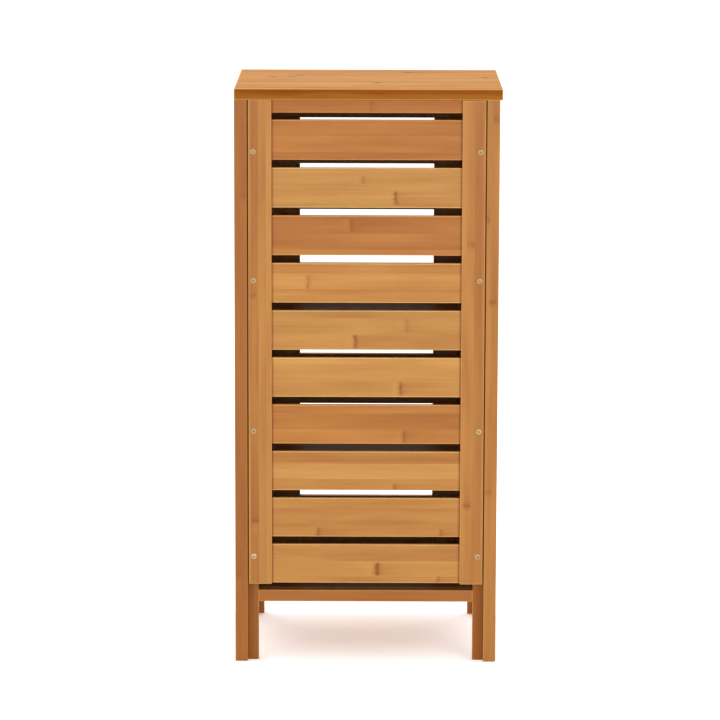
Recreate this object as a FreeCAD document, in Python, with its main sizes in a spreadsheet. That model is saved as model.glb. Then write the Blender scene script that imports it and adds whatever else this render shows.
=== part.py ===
import FreeCAD, Part
import Sketcher
import os
import re

# A tall slatted cabinet of laminated bamboo on four plain legs.
#
# The closed back of the cabinet faces -Y and its door faces +Y.  X runs across, Z up from the floor,
# and the origin is on the floor under the centre of the whole outline, knob included.
# The body stands slightly left of its top board, so the board overhangs on the right only.
#
# Every driving size is a cell of the sheet "Sizes".  PLACES names what follows from those cells, and
# each sub-part is bound to the sheet by formulas written in those two sets of words.

SIZES = {
    # whole outline
    "full_height": (874.4, "floor to the top board's upper face"),
    "top_width": (400, "top board, across"),
    "top_depth": (318, "top board, front to back"),
    "top_thick": (16.4, "top board"),
    "top_overlap": (0.8, "top board past the rear of the posts"),
    "top_ease": (1.6, "rounding of the top board's edges"),
    "body_width": (396, "over the posts"),
    "body_shift": (-2, "centre of the body from the centre of the top board"),
    "body_depth": (316.4, "over the posts"),
    "edge_ease": (1, "rounding of the edges of boards and posts"),
    "fine_ease": (0.9, "rounding of the edges of slats and small parts"),
    "fit_gap": (0.15, "play round a tenon and at a shelf's ends"),
    # legs
    "post_width": (18.9, "post, across"),
    "post_depth": (35, "post, front to back"),
    "batten_width": (16.2, "batten beside a post, across"),
    "batten_depth": (16, "rear batten, front to back"),
    # closed back
    "back_thick": (10.8, "frame of the back"),
    "back_play": (2, "gap between the back and a post"),
    "back_low": (120.6, "lower end of the back"),
    "back_play_top": (0.5, "gap between the back and the top board"),
    "back_stile": (34.7, "stile of the back, across"),
    "back_rail": (19, "top rail of the back"),
    "slat_low": (122.2, "lowest slat of the back"),
    "slat_tall": (59.8, "slat"),
    "slat_pitch": (71.78, "one slat of the back to the next"),
    "slat_thick": (8, "slat"),
    "slat_sink": (2.4, "face of a slat behind the face of its frame"),
    "tenon_long": (10, "tenon at each end of a slat or rail"),
    "tenon_thick": (5, "tenon"),
    "tenon_drop": (4, "shoulder above and below a tenon"),
    # rails and sides
    "rail_low": (91, "underside of the lower rails"),
    "rail_tall": (17.8, "lower rail"),
    "upper_rail_tall": (20, "rail under the top board"),
    "upper_rail_deep": (16, "rail under the top board"),
    "side_thick": (12, "side panel"),
    "side_rail_thick": (15, "upper and lower rails of a side"),
    "side_rail_tall": (38, "upper rail of a side"),
    # shelves
    "shelf_thick": (10, "shelves and bottom board"),
    "shelf_rise": (206, "one shelf to the next"),
    "shelf_back_play": (4, "front edge of a shelf behind the door"),
    "cleat_side": (12, "square section of a cleat"),
    # door
    "door_thick": (12, "frame of the door"),
    "door_play": (2.4, "gap between the door and a front batten"),
    "door_low": (113, "lower edge of the door"),
    "door_play_top": (3, "gap between the door and the top board"),
    "door_stile": (55, "stile of the door, across"),
    "door_top_rail": (55, "top rail of the door"),
    "door_bottom_rail": (80.6, "bottom rail of the door"),
    "door_mid_low": (343.7, "underside of the middle rail of the door"),
    "door_mid_rail": (80.2, "middle rail of the door"),
    "door_slat_sink": (2, "face of a door slat behind the face of the door"),
    # hinges
    "hinge_long": (50, "length of a hinge's barrel"),
    "hinge_inset": (90, "centre of a hinge from the door's end"),
    "hinge_out": (3, "hinge axis in front of the door's face"),
    "leaf_thick": (1, "hinge leaf"),
    "leaf_deep": (10.5, "flat part of a hinge leaf"),
    "leaf_clear": (3.3, "flat part of a leaf from the hinge axis"),
    "leaf_screws": (28, "distance between the screws of a leaf"),
    "barrel_rad": (2.6, "outside of a knuckle"),
    "pin_rad": (1.2, "hinge pin"),
    "pin_play": (0.05, "running clearance round the pin"),
    "pin_cap": (0.8, "height of a pin's cap"),
    "pin_cap_rad": (2, "cap of a pin"),
    "knuckle_play": (0.4, "gap between knuckles"),
    # screws
    "screw_edge": (7.45, "screw from the outer edge of the back"),
    "screw_row_a": (163.5, "lowest row of screws in the back"),
    "screw_row_b": (356.8, "second row"),
    "screw_row_c": (586.4, "third row"),
    "screw_row_d": (780.3, "top row"),
    "head_rad": (4.1, "countersunk head of a long screw"),
    "head_tall": (2.4, "same head"),
    "shank_rad": (1.6, "shank of a long screw"),
    "back_screw": (24, "length of a screw in the back"),
    "frame_screw": (28, "length of a screw in the frame"),
    "tiny_head_rad": (2.2, "countersunk head of a hinge screw"),
    "tiny_head_tall": (1, "same head"),
    "tiny_shank_rad": (1, "shank of a hinge screw"),
    "tiny_screw": (9, "length of a hinge screw"),
    "recess_share": (1.1, "cross recess over the head's radius, across"),
    "recess_wide": (0.22, "cross recess over the head's radius, one bar"),
    "recess_deep": (0.45, "cross recess over the head's height"),
    "bore_play": (0.05, "hole over the radius of its screw"),
    # knob and catch
    "knob_high": (540, "height of the knob"),
    "knob_reach": (22, "knob in front of the door"),
    "knob_rad": (14, "widest part of the knob"),
    "knob_foot": (9.5, "radius of the knob's foot"),
    "knob_hollow": (9, "radius of the hollow between foot and rim"),
    "knob_rim_low": (0.62, "lower edge of the rim, over the knob's reach"),
    "knob_rim_high": (0.74, "upper edge of the rim, over the knob's reach"),
    "knob_bore": (12, "depth of the screw's hole in the knob"),
    "knob_screw_head": (4.5, "radius of the knob screw's head"),
    "knob_screw_tall": (1.8, "height of the knob screw's head"),
    "knob_screw_rad": (2, "shank of the knob screw"),
    "catch_wide": (46, "magnetic catch, across"),
    "catch_deep": (14, "magnetic catch, front to back"),
    "catch_tall": (12, "magnetic catch"),
    "catch_from_side": (85, "centre of the catch from the knob side of the doorway"),
    "catch_screws": (32, "distance between the screws of the catch"),
    "strike_thick": (1, "strike plate"),
    "catch_play": (0.2, "gap between the catch and its strike"),
    "top_screws": (230, "distance between the screws of a rail, across"),
}

PLACES = {
    "rear": "(top_overlap - body_depth - knob_reach) / 2",
    "front": "rear + body_depth",
    "left": "body_shift - body_width / 2",
    "right": "body_shift + body_width / 2",
    "under_top": "full_height - top_thick",
    "post_in_left": "left + post_width",
    "post_in_right": "right - post_width",
    "doorway_left": "post_in_left + batten_width",
    "doorway_right": "post_in_right - batten_width",
    "doorway": "doorway_right - doorway_left",
    "between_posts": "body_width - 2 * post_width",
    "side_length": "body_depth - 2 * post_depth",
    "batten_face": "rear + back_thick",
    "back_left": "post_in_left + back_play",
    "back_right": "post_in_right - back_play",
    "back_tall": "under_top - back_play_top - back_low",
    "back_opening": "back_right - back_left - 2 * back_stile",
    "rail_top": "rail_low + rail_tall",
    "upper_rail_low": "under_top - upper_rail_tall",
    "door_back": "front - door_thick",
    "door_left": "doorway_left + door_play",
    "door_right": "doorway_right - door_play",
    "door_opening": "door_right - door_left - 2 * door_stile",
    "door_top": "under_top - door_play_top",
    "door_tall": "door_top - door_low",
    "upper_field": "door_top - door_top_rail - door_mid_low - door_mid_rail",
    "lower_field": "door_mid_low - door_low - door_bottom_rail",
    "hinge_x": "doorway_left + door_play / 2",
    "hinge_y": "front + hinge_out",
    "knuckle": "(hinge_long - 2 * knuckle_play) / 3",
    "leaf_mid": "leaf_clear + leaf_deep / 2",
    "knob_x": "door_right - door_stile / 2",
    "catch_x": "doorway_right - catch_from_side",
    "strike_back": "door_back - strike_thick",
    "shelf_front": "door_back - shelf_back_play",
}

SHELVES = {"lower_shelf": 1, "upper_shelf": 2}
UPPER_SLATS = 5
LOWER_SLATS = 2
BACK_SLATS = 10
SCREW_ROWS = ("screw_row_a", "screw_row_b", "screw_row_c", "screw_row_d")

# Directions in which a screw, bore or turned part points, as turns of its own +Z.
UP = FreeCAD.Rotation()
TO_FRONT = FreeCAD.Rotation(FreeCAD.Vector(1, 0, 0), -90)
TO_LEFT = FreeCAD.Rotation(FreeCAD.Vector(0, 1, 0), -90)
TO_RIGHT = FreeCAD.Rotation(FreeCAD.Vector(0, 1, 0), 90)

doc = FreeCAD.newDocument("slatted_cabinet")
sub_parts = []


# ---------------------------------------------------------------- sheet and formulas

def fill_sheet():
    """Write the driving sizes to the sheet, one row and one alias each."""
    sheet = doc.addObject("Spreadsheet::Sheet", "Sizes")
    for row, (alias, (value, note)) in enumerate(SIZES.items(), start=1):
        sheet.set("A%d" % row, note)
        sheet.set("B%d" % row, str(value))
        sheet.setAlias("B%d" % row, alias)
    doc.recompute()


def formula(words):
    """Turn words of SIZES and PLACES into an expression on the sheet."""
    def swap(match):
        word = match.group()
        if word in PLACES:
            return "(" + formula(PLACES[word]) + ")"
        return "Sizes." + word if word in SIZES else word
    return re.sub(r"[a-z_]+", swap, words)


def bind(item, **formulas):
    """Bind properties of an object to formulas."""
    for name, words in formulas.items():
        item.setExpression(name, formula(words))


def put(item, corner, turn=UP):
    """Turn an object and bind its place to three formulas."""
    item.Placement = FreeCAD.Placement(FreeCAD.Vector(), turn)
    for axis, words in zip("xyz", corner):
        item.setExpression("Placement.Base." + axis, formula(words))


# ---------------------------------------------------------------- features of a body

def body(label, corner):
    """Start an empty body whose own origin lies at a corner."""
    item = doc.addObject("PartDesign::Body", label)
    item.Label = label
    put(item, corner)
    return item


def block(piece, size, corner=("0", "0", "0"), cut=False):
    """Add a block to a body, or cut one out of it."""
    kind = "PartDesign::SubtractiveBox" if cut else "PartDesign::AdditiveBox"
    item = piece.newObject(kind, piece.Label + "_block")
    bind(item, Length=size[0], Width=size[1], Height=size[2])
    put(item, corner)
    return item


def rod(piece, radius, length, start, turn=UP, cut=False):
    """Add a cylinder to a body, or bore one out of it."""
    kind = "PartDesign::SubtractiveCylinder" if cut else "PartDesign::AdditiveCylinder"
    item = piece.newObject(kind, piece.Label + "_rod")
    bind(item, Radius=radius, Height=length)
    put(item, start, turn)


def countersink(piece, wide, narrow, depth, start, turn):
    """Cut the seat of a countersunk head."""
    item = piece.newObject("PartDesign::SubtractiveCone", piece.Label + "_seat")
    bind(item, Radius1=wide, Radius2=narrow, Height=depth)
    put(item, start, turn)


def ease(piece, base, radius, along="xyz"):
    """Round the edges of a block that run along the given axes."""
    doc.recompute()
    names = []
    for number, edge in enumerate(base.Shape.Edges, start=1):
        run = edge.Vertexes[-1].Point - edge.Vertexes[0].Point
        longest = max("xyz", key=lambda axis: abs(getattr(run, axis)))
        if longest in along:
            names.append("Edge%d" % number)
    item = piece.newObject("PartDesign::Fillet", piece.Label + "_ease")
    item.Base = (base, names)
    bind(item, Radius=radius)


def board(label, size, corner, radius="edge_ease", along="xyz"):
    """A sawn board with its edges rounded, as a sub-part of its own."""
    piece = body(label, corner)
    ease(piece, block(piece, size), radius, along)
    sub_parts.append(piece)
    return piece


def group(label, members):
    """Identical pieces as one sub-part of separate solids."""
    item = doc.addObject("Part::Compound", label)
    item.Label = label
    item.Links = members
    sub_parts.append(item)


def add_tenons(piece, size, tenon):
    """Add a tenon at both ends of a board that runs along X."""
    long, _, tall = size
    thick = tenon["thick"]
    reach = "%s + 2 * tenon_long" % long
    height = "%s - 2 * tenon_drop" % tall
    block(piece, (reach, thick, height), ("0 - tenon_long", tenon["sink"], "tenon_drop"))


def cut_mortise(piece, low, tall, tenon, side):
    """Cut the mortise of one tenon in a stile; side is the stile's inner edge, 'left' or 'right'."""
    depth = "tenon_long + 2 * fit_gap"
    start = "0 - fit_gap" if side == "left" else "%s - tenon_long - fit_gap" % tenon["stile"]
    size = (depth, "%s + 2 * fit_gap" % tenon["thick"], "%s - 2 * tenon_drop + 2 * fit_gap" % tall)
    sink = "%s + %s - fit_gap" % (tenon["face"], tenon["sink"])
    block(piece, size, (start, sink, "%s + tenon_drop - fit_gap" % low), cut=True)


# ---------------------------------------------------------------- frame of the cabinet

def make_top():
    """Top board."""
    size = ("top_width", "top_depth", "top_thick")
    corner = ("0 - top_width / 2", "rear - top_overlap", "under_top")
    return board("top_board", size, corner, "top_ease")


def make_legs():
    """Four posts, each with a batten on its inner side, all standing on the floor."""
    battens = {}
    post = ("post_width", "post_depth", "under_top")
    for side, at in (("left", "left"), ("right", "post_in_right")):
        board("post_rear_" + side, post, (at, "rear", "0"))
        board("post_front_" + side, post, (at, "front - post_depth", "0"))
    for side, at in (("left", "post_in_left"), ("right", "doorway_right")):
        rear = ("batten_width", "batten_depth", "under_top")
        front = ("batten_width", "door_thick", "under_top")
        battens["rear_" + side] = board("batten_rear_" + side, rear, (at, "batten_face", "0"))
        battens["front_" + side] = board("batten_front_" + side, front, (at, "door_back", "0"))
    return battens


def make_cross_rails():
    """Rails between the legs at the rear and the front, low down and under the top board."""
    rear_low = ("doorway", "batten_depth", "rail_tall")
    front_low = ("doorway", "door_thick", "rail_tall")
    board("rear_bottom_rail", rear_low, ("doorway_left", "batten_face", "rail_low"), "fine_ease", "x")
    board("front_bottom_rail", front_low, ("doorway_left", "door_back", "rail_low"), "fine_ease", "x")
    rear_up = ("doorway", "upper_rail_deep", "upper_rail_tall")
    front_up = ("between_posts", "upper_rail_deep", "upper_rail_tall")
    rear_at = ("doorway_left", "batten_face", "upper_rail_low")
    front_at = ("post_in_left", "strike_back - catch_play - upper_rail_deep", "upper_rail_low")
    rear = board("rear_top_rail", rear_up, rear_at, "fine_ease", "x")
    front = board("front_top_rail", front_up, front_at, "fine_ease", "x")
    return rear, front


def make_sides():
    """Two closed sides: an upper and a lower rail with a panel between them, set in from the posts."""
    rail_at = {"left": "post_in_left - side_rail_thick", "right": "post_in_right"}
    panel_at = {"left": "post_in_left - side_thick", "right": "post_in_right"}
    start = "rear + post_depth"
    for side in ("left", "right"):
        low = ("side_rail_thick", "side_length", "rail_tall")
        up = ("side_rail_thick", "side_length", "side_rail_tall")
        panel = ("side_thick", "side_length", "under_top - side_rail_tall - rail_top")
        up_at = (rail_at[side], start, "under_top - side_rail_tall")
        board("side_bottom_rail_" + side, low, (rail_at[side], start, "rail_low"), "fine_ease", "y")
        board("side_top_rail_" + side, up, up_at, "fine_ease", "y")
        board("side_panel_" + side, panel, (panel_at[side], start, "rail_top"), "fine_ease", "y")


def make_shelves():
    """Bottom board, two shelves notched round the rear battens, and the cleats under all three."""
    width = "between_posts - 2 * fit_gap"
    start = "batten_face + fit_gap"
    inner = "batten_face + batten_depth"
    floor = (width, "door_back - (%s) - 2 * fit_gap" % inner, "shelf_thick")
    floor_at = ("post_in_left + fit_gap", inner + " + fit_gap", "rail_top - shelf_thick")
    board("bottom_board", floor, floor_at, "fine_ease")
    for name, step in SHELVES.items():
        size = (width, "shelf_front - (%s)" % start, "shelf_thick")
        level = "rail_top - shelf_thick + %d * shelf_rise" % step
        piece = board(name, size, ("post_in_left + fit_gap", start, level), "fine_ease")
        notch = ("batten_width + fit_gap", "batten_depth + fit_gap", "shelf_thick")
        block(piece, notch, cut=True)
        block(piece, notch, ("%s - batten_width - fit_gap" % width, "0", "0"), cut=True)
    for side, at in (("left", "post_in_left"), ("right", "post_in_right - cleat_side")):
        group("shelf_cleats_" + side, [cleat(side, at, step) for step in range(3)])


def cleat(side, at, step):
    """One square cleat on a side, under the bottom board or a shelf."""
    item = doc.addObject("Part::Box", "cleat_%s_%d" % (side, step))
    bind(item, Length="cleat_side", Width="side_length", Height="cleat_side")
    level = "rail_top - shelf_thick - cleat_side + %d * shelf_rise" % step
    put(item, (at, "rear + post_depth", level))
    return item


# ---------------------------------------------------------------- framed panels: back and door

BACK_TENON = {"thick": "tenon_thick", "sink": "(slat_thick - tenon_thick) / 2",
              "face": "slat_sink", "stile": "back_stile"}
DOOR_TENON = {"thick": "tenon_thick", "sink": "(slat_thick - tenon_thick) / 2",
              "face": "door_slat_sink", "stile": "door_stile"}


def slat(label, frame, opening, left, face, low, tall="slat_tall", radius="fine_ease"):
    """A slat or thin rail between two stiles, with a tenon at each end."""
    size = (opening, "slat_thick", tall)
    piece = board(label, size, (left, face, low), radius, "x")
    add_tenons(piece, size, frame)


def make_back():
    """Closed back: two stiles, a top rail and ten slats, all mortised together."""
    stile = ("back_stile", "back_thick", "back_tall")
    left = board("back_stile_left", stile, ("back_left", "rear", "back_low"))
    right = board("back_stile_right", stile, ("back_right - back_stile", "rear", "back_low"))
    rail_low = "back_low + back_tall - back_rail"
    rows = [("slat_low + %d * slat_pitch" % k, "slat_tall") for k in range(BACK_SLATS)]
    rows.append((rail_low, "back_rail"))
    inner = "back_left + back_stile"
    for number, (low, tall) in enumerate(rows, start=1):
        name = "back_slat_%02d" % number if tall == "slat_tall" else "back_top_rail"
        slat(name, BACK_TENON, "back_opening", inner, "rear + slat_sink", low, tall)
        cut_mortise(left, "%s - back_low" % low, tall, BACK_TENON, "right")
        cut_mortise(right, "%s - back_low" % low, tall, BACK_TENON, "left")
    return left, right


def door_rows():
    """Lower edge and height of every cross piece of the door, from the bottom up."""
    rows = [("door_bottom_rail", "door_low", "door_bottom_rail"),
            ("door_middle_rail", "door_mid_low", "door_mid_rail"),
            ("door_top_rail", "door_top - door_top_rail", "door_top_rail")]
    fields = (("lower_field", "door_low + door_bottom_rail", LOWER_SLATS),
              ("upper_field", "door_mid_low + door_mid_rail", UPPER_SLATS))
    number = 0
    for field, start, count in fields:
        space = "(%s - %d * slat_tall) / %d" % (field, count, count + 1)
        for k in range(count):
            number += 1
            low = "%s + %d * %s + %d * slat_tall" % (start, k + 1, space, k)
            rows.append(("door_slat_%d" % number, low, "slat_tall"))
    return rows


def make_door():
    """Door: two stiles, three rails and seven slats, all mortised together."""
    stile = ("door_stile", "door_thick", "door_tall")
    hinge_side = board("door_hinge_stile", stile, ("door_left", "door_back", "door_low"))
    knob_side = board("door_knob_stile", stile, ("door_right - door_stile", "door_back", "door_low"))
    inner = "door_left + door_stile"
    rails = {}
    for name, low, tall in door_rows():
        if "rail" in name:
            size = ("door_opening", "door_thick", tall)
            rails[name] = board(name, size, (inner, "door_back", low), "fine_ease", "x")
            add_tenons(rails[name], size, {"thick": "tenon_thick",
                                           "sink": "door_slat_sink + (slat_thick - tenon_thick) / 2"})
        else:
            slat(name, DOOR_TENON, "door_opening", inner, "door_back + door_slat_sink", low)
        cut_mortise(hinge_side, "%s - door_low" % low, tall, DOOR_TENON, "right")
        cut_mortise(knob_side, "%s - door_low" % low, tall, DOOR_TENON, "left")
    return hinge_side, knob_side, rails["door_top_rail"]


# ---------------------------------------------------------------- screws and their holes

LONG = {"head": "head_rad", "tall": "head_tall", "shank": "shank_rad"}
TINY = {"head": "tiny_head_rad", "tall": "tiny_head_tall", "shank": "tiny_shank_rad"}


def screw(name, kind, length, point, turn):
    """A countersunk screw with a cross recess; point is the middle of the head's outer face."""
    head = doc.addObject("Part::Cone", name + "_head")
    bind(head, Radius1=kind["head"], Radius2=kind["shank"], Height=kind["tall"])
    shank = doc.addObject("Part::Cylinder", name + "_shank")
    bind(shank, Radius=kind["shank"], Height=length)
    blank = doc.addObject("Part::MultiFuse", name + "_blank")
    blank.Shapes = [head, shank]
    long = "%s * recess_share" % kind["head"]
    wide = "%s * recess_wide" % kind["head"]
    bars = []
    for across, up in ((long, wide), (wide, long)):
        bar = doc.addObject("Part::Box", name + "_bar")
        bind(bar, Length=across, Width=up, Height="%s * recess_deep" % kind["tall"])
        put(bar, ("0 - (%s) / 2" % across, "0 - (%s) / 2" % up, "0"))
        bars.append(bar)
    cross = doc.addObject("Part::MultiFuse", name + "_cross")
    cross.Shapes = bars
    item = doc.addObject("Part::Cut", name)
    item.Base = blank
    item.Tool = cross
    put(item, point, turn)
    return item


def bore(piece, kind, depth, point, turn, seated=True):
    """A hole for a screw in a body, with the seat of its head where the head lies in that body."""
    radius = "%s + bore_play" % kind["shank"]
    rod(piece, radius, depth, point, turn, cut=True)
    if seated:
        wide = "%s + bore_play" % kind["head"]
        countersink(piece, wide, radius, kind["tall"], point, turn)


def fasten_back(stiles, battens):
    """Four screws through each stile of the back into the batten behind it."""
    left_x = "back_left + screw_edge"
    right_x = "back_right - screw_edge"
    screws = []
    for row in SCREW_ROWS:
        for side, at in (("left", left_x), ("right", right_x)):
            name = "back_%s_%s" % (row, side)
            screws.append(screw(name, LONG, "back_screw", (at, "rear", row), TO_FRONT))
            stile_x = "%s - %s" % (at, "back_left" if side == "left" else "(back_right - back_stile)")
            batten_x = "%s - %s" % (at, "post_in_left" if side == "left" else "doorway_right")
            stile = stiles[side == "right"]
            bore(stile, LONG, "back_thick", (stile_x, "0", row + " - back_low"), TO_FRONT)
            depth = "back_screw - back_thick + fit_gap"
            bore(battens["rear_" + side], LONG, depth, (batten_x, "0", row), TO_FRONT, seated=False)
    group("back_panel_screws", screws)


def fasten_frame(top, rails):
    """Screws driven upwards: four through the rails into the top board, two through the catch."""
    rear_y = "batten_face + upper_rail_deep / 2"
    front_y = "strike_back - catch_play - upper_rail_deep / 2"
    screws = []
    for rail, y, rail_left in ((rails[0], rear_y, "doorway_left"), (rails[1], front_y, "post_in_left")):
        for sign in ("-", "+"):
            x = "body_shift %s top_screws / 2" % sign
            name = "%s_screw_%s" % (rail.Label, "left" if sign == "-" else "right")
            screws.append(screw(name, LONG, "frame_screw", (x, y, "upper_rail_low"), UP))
            rail_at = ("%s - (%s)" % (x, rail_left), "upper_rail_deep / 2", "0")
            bore(rail, LONG, "upper_rail_tall", rail_at, UP)
            top_at = ("%s + top_width / 2" % x, "%s - rear + top_overlap" % y, "0")
            depth = "frame_screw - upper_rail_tall + fit_gap"
            bore(top, LONG, depth, top_at, UP, seated=False)
    for sign in ("-", "+"):
        x = "catch_x %s catch_screws / 2" % sign
        name = "catch_screw_%s" % ("left" if sign == "-" else "right")
        y = "strike_back - catch_play - catch_deep / 2"
        screws.append(screw(name, LONG, "frame_screw", (x, y, "upper_rail_low - catch_tall"), UP))
        at = ("%s - post_in_left" % x, "upper_rail_deep - catch_deep / 2", "0")
        bore(rails[1], LONG, "frame_screw - catch_tall + fit_gap", at, UP, seated=False)
    group("frame_screws", screws)


# ---------------------------------------------------------------- hinges

def knuckle_starts(on_door):
    """Lower ends of a leaf's knuckles along its barrel: one for the door, two for the frame."""
    steps = (1,) if on_door else (0, 2)
    return ["%d * (knuckle + knuckle_play)" % step for step in steps]


def leaf(name, on_door, middle):
    """One hinge leaf in the gap beside the door, with its knuckles round the hinge axis."""
    low = "%s - hinge_long / 2" % middle
    piece = body(name, ("hinge_x", "hinge_y", low))
    inner = "door_play / 2 - leaf_thick" if on_door else "0 - door_play / 2"
    block(piece, ("leaf_thick", "leaf_deep", "hinge_long"), (inner, "0 - leaf_clear - leaf_deep", "0"))
    for start in knuckle_starts(on_door):
        reach = "leaf_clear - (pin_rad + barrel_rad) / 2"
        block(piece, ("leaf_thick", reach, "knuckle"), (inner, "0 - leaf_clear", start))
        rod(piece, "barrel_rad", "knuckle", ("0", "0", start))
    rod(piece, "pin_rad + pin_play", "hinge_long", ("0", "0", "0"), cut=True)
    turn = TO_RIGHT if on_door else TO_LEFT
    face = inner if on_door else "leaf_thick - door_play / 2"
    for sign in ("-", "+"):
        point = (face, "0 - leaf_mid", "hinge_long / 2 %s leaf_screws / 2" % sign)
        bore(piece, TINY, "leaf_thick", point, turn)
    return piece


def pin(name, middle):
    """A hinge pin with a cap at each end."""
    parts = []
    long = "hinge_long + 2 * fit_gap"
    rows = (("pin_rad", long, "0 - (%s) / 2" % long),
            ("pin_cap_rad", "pin_cap", "hinge_long / 2 + fit_gap"),
            ("pin_cap_rad", "pin_cap", "0 - hinge_long / 2 - fit_gap - pin_cap"))
    for radius, length, start in rows:
        item = doc.addObject("Part::Cylinder", name + "_piece")
        bind(item, Radius=radius, Height=length)
        put(item, ("0", "0", start))
        parts.append(item)
    whole = doc.addObject("Part::MultiFuse", name)
    whole.Shapes = parts
    put(whole, ("hinge_x", "hinge_y", middle))
    return whole


def make_hinges(stile, batten):
    """Two butt hinges with their pins and screws."""
    middles = {"lower": "door_low + hinge_inset", "upper": "door_top - hinge_inset"}
    frame_leaves = [leaf("frame_leaf_" + name, False, at) for name, at in middles.items()]
    door_leaves = [leaf("door_leaf_" + name, True, at) for name, at in middles.items()]
    group("hinge_frame_leaves", frame_leaves)
    group("hinge_door_leaves", door_leaves)
    group("hinge_pins", [pin(name + "_pin", at) for name, at in middles.items()])
    frame_screws = []
    door_screws = []
    y = "hinge_y - leaf_mid"
    depth = "tiny_screw - leaf_thick + fit_gap"
    for name, middle in middles.items():
        for spot, sign in (("a", "-"), ("b", "+")):
            z = "%s %s leaf_screws / 2" % (middle, sign)
            point = ("doorway_left + leaf_thick", y, z)
            frame_screws.append(screw("frame_%s_%s" % (name, spot), TINY, "tiny_screw", point, TO_LEFT))
            bore(batten, TINY, depth, ("batten_width", "%s - door_back" % y, z), TO_LEFT, seated=False)
            point = ("door_left - leaf_thick", y, z)
            door_screws.append(screw("door_%s_%s" % (name, spot), TINY, "tiny_screw", point, TO_RIGHT))
            hole = ("0", "%s - door_back" % y, "%s - door_low" % z)
            bore(stile, TINY, depth, hole, TO_RIGHT, seated=False)
    group("hinge_frame_screws", frame_screws)
    return door_screws


# ---------------------------------------------------------------- knob and catch

# Rough middles of the knob's two arcs, as shares of their start's radius; constraints settle them.
ARC_IN = 0.8
ARC_OUT = 0.7


def fix_point(sketch, spot, across, up):
    """Bind a point of a sketch to formulas for its distances from the axes; None is on the axis."""
    geometry, end = spot
    now = sketch.getPoint(geometry, end)
    for kind, words, axis, value in (("DistanceX", across, -2, now.x), ("DistanceY", up, -1, now.y)):
        if words is None:
            sketch.addConstraint(Sketcher.Constraint("PointOnObject", geometry, end, axis))
        else:
            number = sketch.addConstraint(Sketcher.Constraint(kind, -1, 1, geometry, end, value))
            sketch.setExpression("Constraints[%d]" % number, formula(words))


def knob_outline(sketch):
    """Half of the turned outline, X the radius: foot, hollow neck, rim and domed head."""
    reach, foot, rad = (SIZES[name][0] for name in ("knob_reach", "knob_foot", "knob_rad"))
    low, high = (reach * SIZES[name][0] for name in ("knob_rim_low", "knob_rim_high"))
    points = ((0, reach), (0, 0), (foot, 0), (foot * ARC_IN, low / 2), (rad, low), (rad, high),
              (rad * ARC_OUT, (high + reach) / 2))
    tip, centre, edge, neck, rim_low, rim_high, brow = (FreeCAD.Vector(x, y, 0) for x, y in points)
    sketch.addGeometry([Part.LineSegment(tip, centre), Part.LineSegment(centre, edge),
                        Part.Arc(edge, neck, rim_low), Part.LineSegment(rim_low, rim_high),
                        Part.Arc(rim_high, brow, tip)], False)
    spine, base, hollow, rim, dome = range(5)
    fix_point(sketch, (base, 1), None, None)
    fix_point(sketch, (base, 2), "knob_foot", None)
    fix_point(sketch, (rim, 1), "knob_rad", "knob_reach * knob_rim_low")
    fix_point(sketch, (rim, 2), "knob_rad", "knob_reach * knob_rim_high")
    fix_point(sketch, (spine, 1), None, "knob_reach")
    for one, other in (((spine, 2), (base, 1)), ((base, 2), joint_of(sketch, hollow, foot)),
                       (joint_of(sketch, hollow, rad), (rim, 1)), ((rim, 2), joint_of(sketch, dome, rad)),
                       (joint_of(sketch, dome, 0), (spine, 1))):
        sketch.addConstraint(Sketcher.Constraint("Coincident", *one, *other))
    sketch.addConstraint(Sketcher.Constraint("PointOnObject", dome, 3, -2))
    number = sketch.addConstraint(Sketcher.Constraint("Radius", hollow, SIZES["knob_hollow"][0]))
    sketch.setExpression("Constraints[%d]" % number, formula("knob_hollow"))


def joint_of(sketch, geometry, across):
    """The end of an arc that lies at a distance from the sketch's Y axis."""
    ends = {end: sketch.getPoint(geometry, end).x for end in (1, 2)}
    return geometry, min(ends, key=lambda end: abs(ends[end] - across))


def make_knob(stile):
    """Turned knob on the free stile of the door, with the screw that holds it from inside."""
    knob = body("door_knob", ("knob_x", "front", "knob_high"))
    sketch = knob.newObject("Sketcher::SketchObject", "knob_outline")
    plane = [o for o in knob.Origin.OriginFeatures if o.Role == "XY_Plane"]
    sketch.AttachmentSupport = [(plane[0], "")]
    sketch.MapMode = "FlatFace"
    knob_outline(sketch)
    turned = knob.newObject("PartDesign::Revolution", "knob_turned")
    turned.Profile = sketch
    turned.ReferenceAxis = (sketch, ["V_Axis"])
    turned.Angle = 360
    doc.recompute()
    rod(knob, "knob_screw_rad + bore_play", "knob_bore", ("0", "0", "0"), TO_FRONT, cut=True)
    sub_parts.append(knob)
    hole = ("door_stile / 2", "0", "knob_high - door_low")
    rod(stile, "knob_screw_rad + bore_play", "door_thick", hole, TO_FRONT, cut=True)
    fixing = body("knob_screw", ("knob_x", "door_back", "knob_high"))
    shank = "door_thick + knob_bore - 2 * fit_gap"
    rod(fixing, "knob_screw_rad", shank, ("0", "0", "0"), TO_FRONT)
    rod(fixing, "knob_screw_head", "knob_screw_tall", ("0", "0 - knob_screw_tall", "0"), TO_FRONT)
    long = "knob_screw_head * recess_share"
    wide = "knob_screw_head * recess_wide"
    for across, up in ((long, wide), (wide, long)):
        corner = ("0 - (%s) / 2" % across, "0 - knob_screw_tall", "0 - (%s) / 2" % up)
        block(fixing, (across, "knob_screw_tall * recess_deep", up), corner, cut=True)
    sub_parts.append(fixing)


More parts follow.
